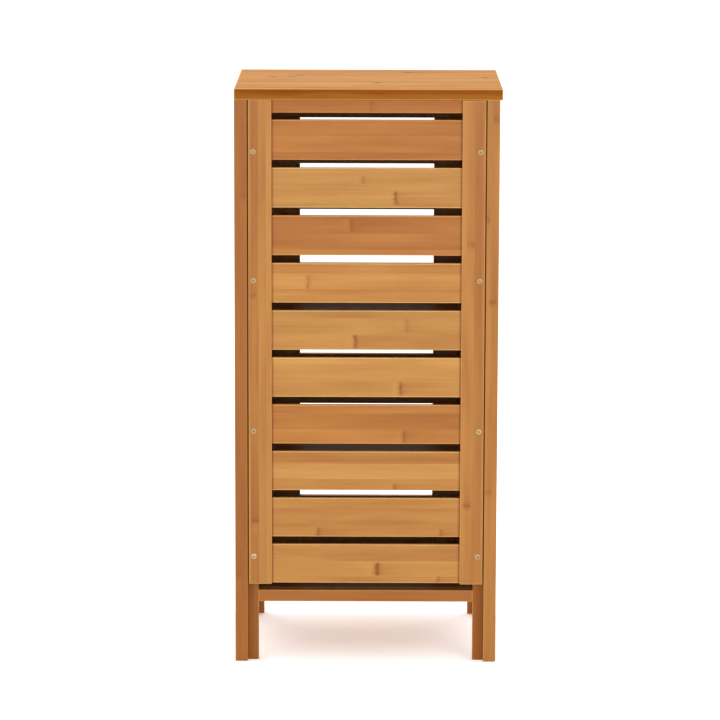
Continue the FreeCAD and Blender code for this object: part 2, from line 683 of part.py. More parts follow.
def make_catch(rail, screws):
    """Magnetic catch under the front rail and its strike plate on the door."""
    y = "strike_back - catch_play - catch_deep"
    low = "upper_rail_low - catch_tall"
    size = ("catch_wide", "catch_deep", "catch_tall")
    holder = board("catch_body", size, ("catch_x - catch_wide / 2", y, low), "fine_ease")
    for sign in ("-", "+"):
        point = ("catch_wide / 2 %s catch_screws / 2" % sign, "catch_deep / 2", "0")
        bore(holder, LONG, "catch_tall", point, UP)
    plate = body("catch_strike", ("catch_x - catch_wide / 2", "strike_back", low))
    block(plate, ("catch_wide", "strike_thick", "catch_tall"))
    middle = "catch_tall / 2"
    for side, sign in (("left", "-"), ("right", "+")):
        x = "catch_wide / 2 %s catch_screws / 2" % sign
        bore(plate, TINY, "strike_thick", (x, "0", middle), TO_FRONT)
        point = ("catch_x %s catch_screws / 2" % sign, "strike_back", "%s + %s" % (low, middle))
        screws.append(screw("strike_screw_" + side, TINY, "tiny_screw", point, TO_FRONT))
        hole_x = "%s - door_left - door_stile" % point[0]
        hole_z = "%s - door_top + door_top_rail" % point[2]
        depth = "tiny_screw - strike_thick + fit_gap"
        bore(rail, TINY, depth, (hole_x, "0", hole_z), TO_FRONT, seated=False)
    sub_parts.append(plate)
    group("door_hardware_screws", screws)


# ---------------------------------------------------------------- build, test, write

def check_all():
    """Stop if an object has failed or a sub-part's shape isn't sound."""
    for item in doc.Objects:
        if {"Invalid", "Error"} & set(item.State):
            raise RuntimeError("%s failed: %s" % (item.Label, item.State))
    for item in sub_parts:
        if item.Shape.isNull() or not item.Shape.isValid() or not item.Shape.Solids:
            raise RuntimeError("%s has no sound shape" % item.Label)


def write_all():
    """Write each sub-part's shape to its own file."""
    os.makedirs("parts", exist_ok=True)
    for item in sub_parts:
        item.Shape.exportStep("parts/%s.step" % item.Label)
    print("wrote %d sub-parts" % len(sub_parts))


fill_sheet()
top_board = make_top()
batten_bodies = make_legs()
top_rails = make_cross_rails()
make_sides()
make_shelves()
back_stiles = make_back()
hinge_stile, knob_stile, door_top = make_door()
fasten_back(back_stiles, batten_bodies)
fasten_frame(top_board, top_rails)
loose_screws = make_hinges(hinge_stile, batten_bodies["front_left"])
make_knob(knob_stile)
make_catch(door_top, loose_screws)
doc.recompute()
check_all()
write_all()
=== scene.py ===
# A slatted cabinet of laminated bamboo, dressed for a studio.
#
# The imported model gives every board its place.  This script gives each board its own bamboo, turns the
# knob, makes the screws and the magnetic catch with their small details, plates the hinges and the
# strike, and lights the whole in a plain bright studio.  Lengths are in metres and the closed back of
# the cabinet faces -Y.

import logging
import math
import random
import zlib
from dataclasses import dataclass, field, replace
from enum import Enum
from typing import Iterable, Optional, Union

import bmesh
import bpy
from mathutils import Matrix, Vector


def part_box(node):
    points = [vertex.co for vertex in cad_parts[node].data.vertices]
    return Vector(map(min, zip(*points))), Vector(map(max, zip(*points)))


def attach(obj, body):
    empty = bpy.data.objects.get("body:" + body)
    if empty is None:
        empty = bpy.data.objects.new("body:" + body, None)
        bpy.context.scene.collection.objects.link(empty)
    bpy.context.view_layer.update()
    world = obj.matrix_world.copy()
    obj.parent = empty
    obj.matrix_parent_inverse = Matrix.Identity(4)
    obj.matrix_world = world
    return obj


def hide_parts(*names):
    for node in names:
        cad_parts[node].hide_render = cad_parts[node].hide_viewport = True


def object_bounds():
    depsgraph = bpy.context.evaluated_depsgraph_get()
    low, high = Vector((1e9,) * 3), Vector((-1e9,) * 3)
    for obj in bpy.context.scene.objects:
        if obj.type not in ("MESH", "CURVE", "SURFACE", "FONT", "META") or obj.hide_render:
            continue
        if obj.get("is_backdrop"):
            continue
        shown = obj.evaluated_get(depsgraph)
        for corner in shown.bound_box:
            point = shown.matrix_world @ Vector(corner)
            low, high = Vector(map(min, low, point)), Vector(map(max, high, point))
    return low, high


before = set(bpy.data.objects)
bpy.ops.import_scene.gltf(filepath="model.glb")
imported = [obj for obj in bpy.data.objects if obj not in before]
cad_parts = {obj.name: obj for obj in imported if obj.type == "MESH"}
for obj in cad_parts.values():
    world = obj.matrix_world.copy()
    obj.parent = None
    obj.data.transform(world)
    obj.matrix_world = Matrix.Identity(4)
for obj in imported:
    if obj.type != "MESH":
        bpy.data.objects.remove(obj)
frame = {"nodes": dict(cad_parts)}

LOG = logging.getLogger("cabinet")
MM = 0.001

Colour = tuple[float, float, float]
Feed = Union[float, int, tuple, Vector, bpy.types.NodeSocket]

WHITE: Colour = (1.0, 1.0, 1.0)
DUST: Colour = (0.62, 0.58, 0.52)
RUBBED_METAL: Colour = (0.95, 0.93, 0.88)
DARK_PLASTIC: Colour = (0.085, 0.040, 0.020)

# Colours by which a bamboo's own colour is multiplied.
WARMER: Colour = (1.0, 0.90, 0.72)
# Partly wear, partly a painted highlight where the rounded edges catch the light.
WORN_AND_LIT_EDGE: Colour = (1.35, 1.6, 2.3)
# Painted shade where the slat ends meet the stiles.
SLAT_END_SHADE: Colour = (0.66, 0.52, 0.34)
RIM_STAIN: Colour = (0.49, 0.32, 0.16)


# ------------------------------------------------------------------ building node trees


class Graph:
    """A node tree that is written like a formula."""

    def __init__(self, tree: bpy.types.NodeTree) -> None:
        """Start on a tree.

        Args:
            tree: The node tree of a material or of a group.
        """
        self.tree = tree

    def add(self, kind: str, **settings: object) -> bpy.types.Node:
        """Add a node and set its properties.

        Args:
            kind: The node's type, without the leading "ShaderNode".
            settings: Properties of the node.

        Returns:
            The new node.
        """
        node = self.tree.nodes.new("ShaderNode" + kind)
        for name, value in settings.items():
            setattr(node, name, value)
        return node

    def feed(self, socket: bpy.types.NodeSocket, value: Feed) -> None:
        """Link or set an input.

        Args:
            socket: The input.
            value: Another node's output, or a constant.
        """
        if isinstance(value, bpy.types.NodeSocket):
            self.tree.links.new(value, socket)
            return
        if socket.type == "RGBA" and len(value) == 3:
            value = (*value, 1.0)
        socket.default_value = value

    def math(self, operation: str, *values: Feed) -> bpy.types.NodeSocket:
        """Work out one number with a Math node.

        Args:
            operation: The node's operation.
            values: Its inputs, in order.

        Returns:
            The number.
        """
        node = self.add("Math", operation=operation)
        for socket, value in zip(node.inputs, values):
            self.feed(socket, value)
        return node.outputs[0]

    def vector(self, operation: str, *values: Feed) -> bpy.types.NodeSocket:
        """Work out a vector, or for a dot product a number, with a Vector Math node.

        Args:
            operation: The node's operation.
            values: Its inputs, in order.

        Returns:
            The vector or the number.
        """
        node = self.add("VectorMath", operation=operation)
        for socket, value in zip(node.inputs, values):
            self.feed(socket, value)
        return node.outputs["Value" if operation == "DOT_PRODUCT" else "Vector"]

    def split(self, vector: Feed) -> tuple[bpy.types.NodeSocket, ...]:
        """Give the three parts of a vector.

        Args:
            vector: The vector.

        Returns:
            Its parts along X, Y and Z.
        """
        node = self.add("SeparateXYZ")
        self.feed(node.inputs[0], vector)
        return tuple(node.outputs)

    def join(self, x: Feed, y: Feed, z: Feed) -> bpy.types.NodeSocket:
        """Make a vector from three numbers.

        Args:
            x: Its part along X.
            y: Its part along Y.
            z: Its part along Z.

        Returns:
            The vector.
        """
        node = self.add("CombineXYZ")
        for socket, value in zip(node.inputs, (x, y, z)):
            self.feed(socket, value)
        return node.outputs[0]

    def noise(self, vector: Feed, scale: float = 1.0, detail: float = 2.0,
              rough: float = 0.5) -> bpy.types.NodeSocket:
        """Smooth noise between 0 and 1 at a vector.

        Args:
            vector: Where it is read.
            scale: How fine it is.
            detail: How many finer layers it has.
            rough: How strong each finer layer is.

        Returns:
            The noise.
        """
        node = self.add("TexNoise")
        self.feed(node.inputs["Vector"], vector)
        for name, value in (("Scale", scale), ("Detail", detail), ("Roughness", rough)):
            node.inputs[name].default_value = value
        return node.outputs[0]

    def chance(self, number: Feed) -> tuple[bpy.types.NodeSocket, ...]:
        """Give three unrelated random numbers for one number.

        Args:
            number: The number that picks them.

        Returns:
            Three numbers between 0 and 1.
        """
        node = self.add("TexWhiteNoise", noise_dimensions="1D")
        self.feed(node.inputs["W"], number)
        split = self.add("SeparateColor")
        self.feed(split.inputs[0], node.outputs["Color"])
        return tuple(split.outputs)

    def smooth(self, value: Feed, low: Feed, high: Feed, start: float = 0.0,
               end: float = 1.0) -> bpy.types.NodeSocket:
        """Go smoothly from start to end as a value goes from low to high.

        Args:
            value: The value.
            low: Where the change begins.
            high: Where it is complete.
            start: The result below low.
            end: The result above high.

        Returns:
            The result.
        """
        node = self.add("MapRange", interpolation_type="SMOOTHSTEP")
        for socket, part in zip(node.inputs, (value, low, high, start, end)):
            self.feed(socket, part)
        return node.outputs[0]

    def mix(self, share: Feed, first: Feed, second: Feed, blend: str = "MIX") -> bpy.types.NodeSocket:
        """Mix two colours.

        Args:
            share: How much of the mixed colour shows.
            first: The colour beneath.
            second: The colour that is mixed in.
            blend: How it is mixed in.

        Returns:
            The mixed colour.
        """
        node = self.add("Mix", data_type="RGBA", blend_type=blend, clamp_result=False)
        for name, value in (("Factor_Float", share), ("A_Color", first), ("B_Color", second)):
            socket = next(s for s in node.inputs if s.identifier == name)
            self.feed(socket, value)
        return next(s for s in node.outputs if s.identifier == "Result_Color")

    def place(self, group: bpy.types.NodeTree, **values: Feed) -> bpy.types.Node:
        """Add a group and feed its inputs.

        Args:
            group: The group.
            values: Its inputs by name, with an underscore for a blank.

        Returns:
            The group's node.
        """
        node = self.add("Group", node_tree=group)
        for name, value in values.items():
            self.feed(node.inputs[name.replace("_", " ")], value)
        return node


@dataclass
class GroupMaker:
    """Makes a shader node group once and hands the same one out after that.

    Args:
        name: The group's name.
        inputs: The kind of each input, by name.
        outputs: The kind of each output, by name.
    """

    name: str
    inputs: dict[str, str]
    outputs: dict[str, str]

    def get(self) -> bpy.types.NodeTree:
        """Return the group, making it if it isn't there yet."""
        found = bpy.data.node_groups.get(self.name)
        return found or self.make()

    def make(self) -> bpy.types.NodeTree:
        """Make the group's sockets and fill it.

        Returns:
            The new group.
        """
        tree = bpy.data.node_groups.new(self.name, "ShaderNodeTree")
        kinds = {"value": "NodeSocketFloat", "vector": "NodeSocketVector", "colour": "NodeSocketColor"}
        for in_out, sockets in (("INPUT", self.inputs), ("OUTPUT", self.outputs)):
            for name, kind in sockets.items():
                tree.interface.new_socket(name, in_out=in_out, socket_type=kinds[kind])
        graph = Graph(tree)
        source = tree.nodes.new("NodeGroupInput")
        target = tree.nodes.new("NodeGroupOutput")
        results = self.fill(graph, {s.name: s for s in source.outputs if s.name})
        for name, value in results.items():
            graph.feed(target.inputs[name], value)
        return tree

    def fill(self, graph: Graph, given: dict[str, bpy.types.NodeSocket]) -> dict[str, Feed]:
        """Write the group's formula; each kind of group has its own."""
        raise NotImplementedError


# ------------------------------------------------------------------ shared patterns


class EdgeGroup(GroupMaker):
    """How near a point of a board's surface is to one of the board's edges."""

    def __init__(self) -> None:
        """Name the group and its sockets."""
        super().__init__("board_edge", {"Place": "vector", "Half": "vector", "Width": "value"},
                         {"Edge": "value"})

    def fill(self, graph: Graph, given: dict[str, bpy.types.NodeSocket]) -> dict[str, Feed]:
        """The middle one of the three distances to the faces is the distance to the nearest edge.

        Args:
            graph: The group's tree.
            given: Its inputs by name.

        Returns:
            Its outputs by name.
        """
        inside = graph.vector("SUBTRACT", graph.vector("ABSOLUTE", given["Place"]), given["Half"])
        x, y, z = graph.split(inside)
        most = graph.math("MAXIMUM", graph.math("MAXIMUM", x, y), z)
        least = graph.math("MINIMUM", graph.math("MINIMUM", x, y), z)
        total = graph.math("ADD", graph.math("ADD", x, y), z)
        middle = graph.math("SUBTRACT", graph.math("SUBTRACT", total, most), least)
        ragged = graph.noise(graph.vector("MULTIPLY", given["Place"], (60, 260, 260)), detail=3)
        reach = graph.math("MULTIPLY", given["Width"], graph.math("ADD", ragged, 0.5))
        low = graph.math("MULTIPLY", reach, -1)
        return {"Edge": graph.smooth(middle, low, graph.math("MULTIPLY", low, 0.4))}


class MarkGroup(GroupMaker):
    """One node mark of a bamboo cane: a dark smudge across a strip, a fine ridge and a pale side."""

    WANDER = 5 * MM

    def __init__(self) -> None:
        """Name the group and its sockets."""
        inputs = {"Place": "vector", "Spot": "vector", "Tall": "value", "Wide": "value", "Strength": "value"}
        super().__init__("cane_mark", inputs, {"Dark": "value", "Pale": "value", "Tail": "value"})

    def fill(self, graph: Graph, given: dict[str, bpy.types.NodeSocket]) -> dict[str, Feed]:
        """A bell across the fibres, cut off softly at the strip's sides.

        Args:
            graph: The group's tree.
            given: Its inputs by name.

        Returns:
            Its outputs by name.
        """
        wisp = graph.noise(graph.vector("MULTIPLY", given["Place"], (70, 190, 190)), detail=3)
        shift = graph.math("MULTIPLY", graph.math("SUBTRACT", wisp, 0.5), self.WANDER)
        x, y, _ = graph.split(graph.vector("SUBTRACT", given["Place"], given["Spot"]))
        along = graph.math("DIVIDE", graph.math("ADD", x, shift), given["Wide"])
        across = graph.math("ABSOLUTE", graph.math("DIVIDE", y, given["Tall"]))
        inside = graph.smooth(across, 0.62, 1.0, 1.0, 0.0)
        dark = self.bell(graph, along, 0.0, 1.0)
        ridge = self.bell(graph, along, 0.15, 0.5)
        pale = self.bell(graph, along, -1.9, 1.1)
        past = graph.math("MULTIPLY", graph.math("MAXIMUM", along, 0.0), -0.11)
        tail = graph.math("MULTIPLY", graph.math("EXPONENT", past), graph.smooth(along, -0.8, 0.8))
        body = graph.math("ADD", graph.math("MULTIPLY", dark, 0.42), graph.math("MULTIPLY", ridge, 0.68))
        uneven = graph.math("MULTIPLY", graph.smooth(wisp, 0.25, 0.7, 0.6, 1.0), inside)
        scale = graph.math("MULTIPLY", uneven, given["Strength"])
        return {"Dark": graph.math("MULTIPLY", body, scale),
                "Pale": graph.math("MULTIPLY", pale, scale),
                "Tail": graph.math("MULTIPLY", tail, graph.math("MULTIPLY", inside, given["Strength"]))}

    @staticmethod
    def bell(graph: Graph, value: Feed, middle: float, wide: float) -> bpy.types.NodeSocket:
        """A bell of height 1 round a middle value.

        Args:
            graph: The tree.
            value: The value.
            middle: Where the bell is highest.
            wide: Half its width.

        Returns:
            The bell's height at the value.
        """
        offset = graph.math("DIVIDE", graph.math("SUBTRACT", value, middle), wide)
        square = graph.math("MULTIPLY", offset, offset)
        return graph.math("EXPONENT", graph.math("MULTIPLY", square, -1))


class CaneGroup(GroupMaker):
    """Laminated bamboo: strips of their own tone, fibres, bundles, glue lines, nodes and end grain.

    GLUE_LINE is half a glue line's width and where it has faded.  The three NODE pairs are the offset and
    the half width of a node's dark body, its ridge and its pale side.
    """

    GLUE_LINE = (0.12 * MM, 0.42 * MM)
    NODE_BODY = (0.0, 4.5 * MM)
    NODE_RIDGE = (0.8 * MM, 1.6 * MM)
    NODE_PALE = (-8.5 * MM, 4.5 * MM)
    NODE_WANDER = 6 * MM
    PORES_PER_METRE = 850

    def __init__(self) -> None:
        """Name the group and its sockets."""
        inputs = {"Place": "vector", "Seed": "value", "Strip": "value", "Layer": "value", "Shift": "value",
                  "Pale": "colour", "Deep": "colour", "Burnt": "colour", "Spread": "value",
                  "Node Gap": "value", "Nodes": "value", "Mark": "value", "Halo": "value", "Tail": "value",
                  "End": "value", "Edge": "value"}
        outputs = {"Colour": "colour", "Rough": "value", "Height": "value"}
        super().__init__("laminated_cane", inputs, outputs)

    def fill(self, graph: Graph, given: dict[str, bpy.types.NodeSocket]) -> dict[str, Feed]:
        """Place runs along the fibres in X, across the strips in Y and through the layers in Z.

        Args:
            graph: The group's tree.
            given: Its inputs by name.

        Returns:
            Its outputs by name.
        """
        x, y, z = graph.split(given["Place"])
        row = graph.math("DIVIDE", graph.math("ADD", y, given["Shift"]), given["Strip"])
        layer = graph.math("ADD", graph.math("DIVIDE", z, given["Layer"]), 0.5)
        strip_id = graph.math("FLOOR", row)
        cell = graph.math("MULTIPLY_ADD", graph.math("FLOOR", layer), 3.17, given["Seed"])
        cell = graph.math("MULTIPLY_ADD", strip_id, 7.31, cell)
        tone, phase, hue = graph.chance(cell)
        glue = self.glue(graph, row, layer, given)
        own = graph.math("MULTIPLY_ADD", phase, 3.0, x)
        place = graph.join(own, graph.math("ADD", y, given["Seed"]), z)

        def streaks(along: float, across: float, detail: float, rough: float = 0.55) -> bpy.types.NodeSocket:
            """Noise drawn out along the fibres."""
            return graph.noise(graph.vector("MULTIPLY", place, (along, across, across)), detail=detail,
                               rough=rough)

        cloud = streaks(5, 42, 2)
        band = streaks(2.2, 260, 3)
        fibre = streaks(9, 1500, 4, 0.7)
        bundle = graph.smooth(streaks(30, 1250, 2), 0.60, 0.70)
        fleck = graph.smooth(streaks(16, 480, 1), 0.66, 0.78)

        level = graph.math("MULTIPLY", graph.math("SUBTRACT", tone, 0.5), given["Spread"])
        for part, weight in ((cloud, 1.3), (band, 0.4), (fibre, 0.4)):
            level = graph.math("MULTIPLY_ADD", graph.math("SUBTRACT", part, 0.5), weight, level)
        level = graph.math("MULTIPLY_ADD", given["Tail"], -0.34, level)
        level = graph.math("ADD", level, 0.55)
        colour = graph.mix(level, given["Deep"], given["Pale"])
        warm = graph.smooth(hue, 0.2, 1.0, 0.0, 0.3)
        colour = graph.mix(warm, colour, graph.mix(1.0, colour, WARMER, "MULTIPLY"))

        node_dark, node_pale = self.nodes(graph, own, strip_id, given)
        dark = graph.math("MAXIMUM", node_dark, given["Mark"])
        pale = graph.math("MAXIMUM", node_pale, given["Halo"])
        colour = graph.mix(graph.math("MULTIPLY", pale, 0.28), colour, given["Pale"])
        colour = graph.mix(dark, colour, given["Burnt"])
        colour = graph.mix(graph.math("MULTIPLY", bundle, 0.20), colour, given["Burnt"])
        colour = graph.mix(graph.math("MULTIPLY", fleck, 0.22), colour, given["Burnt"])
        colour = graph.mix(graph.math("MULTIPLY", glue, 0.20), colour, given["Burnt"])

        pores = self.pores(graph, y, z)
        ends = graph.mix(graph.math("MULTIPLY_ADD", pores, 0.6, 0.18), colour, given["Burnt"])
        colour = graph.mix(given["End"], colour, ends)
        # The edges are lightened: partly wear, partly a painted highlight of light caught by the rounded
        # edges.
        worn_and_lit = graph.mix(1.0, given["Pale"], WORN_AND_LIT_EDGE, "MULTIPLY")
        colour = graph.mix(graph.math("MULTIPLY", given["Edge"], 0.75), colour, worn_and_lit)

        rough = graph.math("MULTIPLY_ADD", fibre, 0.10, 0.36)
        rough = graph.math("MULTIPLY_ADD", given["End"], 0.18, rough)
        rough = graph.math("MULTIPLY_ADD", given["Edge"], 0.06, rough)
        height = graph.math("MULTIPLY_ADD", fibre, 0.35, graph.math("MULTIPLY", band, 0.25))
        height = graph.math("SUBTRACT", height, graph.math("MULTIPLY", glue, 0.5))
        height = graph.math("SUBTRACT", height, graph.math("MULTIPLY", bundle, 0.22))
        height = graph.math("MULTIPLY_ADD", dark, 0.3, height)
        height = graph.math("SUBTRACT", height, graph.math("MULTIPLY", pores, given["End"]))
        return {"Colour": colour, "Rough": rough, "Height": height}

    @staticmethod
    def glue(graph: Graph, row: Feed, layer: Feed, given: dict[str, bpy.types.NodeSocket]) -> Feed:
        """Thin lines where two strips or two layers meet.

        Args:
            graph: The group's tree.
            row: Place across the strips, counted in strips.
            layer: Place through the layers, counted in layers.
            given: The group's inputs.

        Returns:
            1 on a line and 0 away from it.
        """
        lines = []
        for value, wide in ((row, given["Strip"]), (layer, given["Layer"])):
            near = graph.math("PINGPONG", value, 0.5)
            real = graph.math("MULTIPLY", near, wide)
            lines.append(graph.smooth(real, *CaneGroup.GLUE_LINE, 1.0, 0.0))
        return graph.math("MAXIMUM", *lines)

    @staticmethod
    def nodes(graph: Graph, own: Feed, strip_id: Feed, given: dict[str, bpy.types.NodeSocket]) -> tuple:
        """Nodes of the cane, at uneven distances and each strip with its own.

        Args:
            graph: The group's tree.
            own: Place along the strip, shifted by the strip's own amount.
            strip_id: Number of the strip.
            given: The group's inputs.

        Returns:
            The dark part and the pale part.
        """
        count = graph.math("DIVIDE", own, given["Node Gap"])
        number = graph.math("FLOOR", count)
        seed = graph.math("MULTIPLY_ADD", strip_id, 13.7, graph.math("MULTIPLY", number, 5.3))
        jitter, strength, _ = graph.chance(graph.math("ADD", seed, given["Seed"]))
        middle = graph.math("MULTIPLY_ADD", jitter, 0.6, 0.2)
        offset = graph.math("SUBTRACT", graph.math("FRACT", count), middle)
        real = graph.math("MULTIPLY", offset, given["Node Gap"])
        power = graph.math("MULTIPLY", graph.smooth(strength, 0.25, 0.95, 0.1, 1.0), given["Nodes"])
        wave = graph.noise(graph.vector("MULTIPLY", given["Place"], (110, 380, 380)), detail=3)
        real = graph.math("MULTIPLY_ADD", graph.math("SUBTRACT", wave, 0.5), CaneGroup.NODE_WANDER, real)
        dark = MarkGroup.bell(graph, real, *CaneGroup.NODE_BODY)
        ridge = MarkGroup.bell(graph, real, *CaneGroup.NODE_RIDGE)
        pale = MarkGroup.bell(graph, real, *CaneGroup.NODE_PALE)
        both = graph.math("MULTIPLY_ADD", ridge, 0.22, graph.math("MULTIPLY", dark, 0.45))
        uneven = graph.math("MULTIPLY", power, graph.smooth(wave, 0.25, 0.7, 0.45, 1.0))
        return graph.math("MULTIPLY", both, uneven), graph.math("MULTIPLY", pale, uneven)

    @staticmethod
    def pores(graph: Graph, y: Feed, z: Feed) -> Feed:
        """Cut bundles on an end face, as small dark dots.

        Args:
            graph: The group's tree.
            y: Place across the strips.
            z: Place through the layers.

        Returns:
            1 in a dot and 0 between them.
        """
        cells = graph.add("TexVoronoi", feature="F1")
        graph.feed(cells.inputs["Vector"], graph.join(0.0, y, z))
        cells.inputs["Scale"].default_value = CaneGroup.PORES_PER_METRE
        return graph.smooth(cells.outputs["Distance"], 0.16, 0.42, 1.0, 0.0)


class LacquerGroup(GroupMaker):
    """The skin of satin lacquer: soft unevenness of its gloss, faint wipes and a little dust."""

    def __init__(self) -> None:
        """Name the group and its sockets."""
        inputs = {"Place": "vector", "Rough": "value", "Seed": "value", "Upward": "value"}
        super().__init__("satin_lacquer", inputs, {"Rough": "value", "Skin": "value", "Dust": "value"})

    def fill(self, graph: Graph, given: dict[str, bpy.types.NodeSocket]) -> dict[str, Feed]:
        """Large soft clouds, fine orange peel and dust that lies on what faces up.

        Args:
            graph: The group's tree.
            given: Its inputs by name.

        Returns:
            Its outputs by name.
        """
        own = graph.vector("ADD", given["Place"], graph.join(given["Seed"], 0.0, given["Seed"]))
        cloud = graph.noise(own, scale=14, detail=3)
        peel = graph.noise(own, scale=420, detail=2)
        wipe = graph.noise(graph.vector("MULTIPLY", own, (30, 6, 30)), detail=4, rough=0.65)
        rough = graph.math("MULTIPLY_ADD", graph.math("SUBTRACT", cloud, 0.5), 0.16, given["Rough"])
        rough = graph.math("MULTIPLY_ADD", graph.smooth(wipe, 0.55, 0.8), 0.07, rough)
        dust = graph.smooth(graph.noise(own, scale=900, detail=2), 0.62, 0.75)
        dust = graph.math("MULTIPLY", graph.math("MULTIPLY", dust, given["Upward"]), 0.25)
        rough = graph.math("ADD", rough, graph.math("MULTIPLY", dust, 0.4))
        return {"Rough": rough, "Skin": peel, "Dust": dust}


class MetalGroup(GroupMaker):
    """Plated metal: fine rolling lines, soft stains and bright rubbed spots."""

    def __init__(self) -> None:
        """Name the group and its sockets."""
        inputs = {"Place": "vector", "Bright": "colour", "Stain": "colour", "Rough": "value",
                  "Lines": "vector"}
        super().__init__("plated_metal", inputs, {"Colour": "colour", "Rough": "value", "Height": "value"})

    def fill(self, graph: Graph, given: dict[str, bpy.types.NodeSocket]) -> dict[str, Feed]:
        """Lines are noise drawn out by the Lines vector.

        Args:
            graph: The group's tree.
            given: Its inputs by name.

        Returns:
            Its outputs by name.
        """
        lines = graph.noise(graph.vector("MULTIPLY", given["Place"], given["Lines"]), detail=3, rough=0.6)
        stain = graph.smooth(graph.noise(given["Place"], scale=240, detail=4), 0.45, 0.75)
        dull = graph.smooth(graph.noise(given["Place"], scale=7, detail=1), 0.38, 0.52)
        stain = graph.math("MAXIMUM", stain, graph.math("MULTIPLY", dull, 0.9))
        rub = graph.smooth(graph.noise(given["Place"], scale=900, detail=2), 0.6, 0.8)
        colour = graph.mix(graph.math("MULTIPLY", stain, 0.7), given["Bright"], given["Stain"])
        colour = graph.mix(graph.math("MULTIPLY", rub, 0.3), colour, RUBBED_METAL)
        rough = graph.math("MULTIPLY_ADD", lines, 0.16, given["Rough"])
        rough = graph.math("MULTIPLY_ADD", stain, 0.12, rough)
        return {"Colour": colour, "Rough": rough, "Height": lines}


# ------------------------------------------------------------------ how bamboo lies in a board


class Lay(Enum):
    """Which way a board's fibres, strips and layers run, as rows of a turn to the pattern's axes."""

    FLAT_X = ((1, 0, 0), (0, 1, 0), (0, 0, 1))
    FACE_X = ((1, 0, 0), (0, 0, 1), (0, -1, 0))
    FACE_Z = ((0, 0, 1), (1, 0, 0), (0, 1, 0))
    SIDE_Z = ((0, 0, 1), (0, 1, 0), (-1, 0, 0))
    SIDE_Y = ((0, 1, 0), (0, 0, 1), (1, 0, 0))

    @property
    def turn(self) -> Matrix:
        """The turn as a matrix."""
        return Matrix(self.value)


@dataclass(frozen=True)
class Mark:
    """A node mark on a board.

    Args:
        along: Its share of the board's length, from the low end.
        across: Its share of the board's width, from the low side.
        strength: How dark it is.
        tall: Half its reach across the strip.
        wide: Half its width along the fibres.
    """

    along: float
    across: float
    strength: float = 1.0
    tall: float = 12 * MM
    wide: float = 4.2 * MM


@dataclass(frozen=True)
class Bamboo:
    """A tone of stained and lacquered bamboo.

    Args:
        pale: Colour of the palest strips.
        deep: Colour of the deepest strips.
        burnt: Colour of nodes, glue lines and end grain.
        strip: Width of a strip.
        layer: Thickness of a layer.
        spread: How much one strip differs from the next.
        node_gap: Distance between scattered nodes.
        nodes: How dark the scattered nodes are.
        gloss: Specular level.
        coat: Weight of the clear coat.
        bump: Strength of the grain's relief.
        edge: Width of the worn edge.
        rim: How strongly the side faces are stained.
    """

    pale: Colour
    deep: Colour
    burnt: Colour = (0.200, 0.060, 0.007)
    strip: float = 24.5 * MM
    layer: float = 5.3 * MM
    spread: float = 0.45
    node_gap: float = 0.34
    nodes: float = 0.7
    gloss: float = 0.2
    coat: float = 0.1
    bump: float = 0.10
    # edge: Width of the edge band that is lightened, partly for wear and partly as a painted highlight.
    edge: float = 1.8 * MM
    rim: float = 0.0

    def tinted(self, light: float, red: float) -> tuple[Colour, Colour]:
        """Pale and deep tones made lighter and redder.

        Args:
            light: Share by which both tones are lighter.
            red: Share by which both tones lose green and blue.

        Returns:
            The two tones.
        """
        factors = ((1 + light), (1 + light) * (1 - red), (1 + light) * (1 - 2.1 * red))
        pale = tuple(c * f for c, f in zip(self.pale, factors))
        deep = tuple(c * f for c, f in zip(self.deep, factors))
        return pale, deep


HONEY = Bamboo(pale=(0.440, 0.212, 0.049), deep=(0.290, 0.104, 0.015))


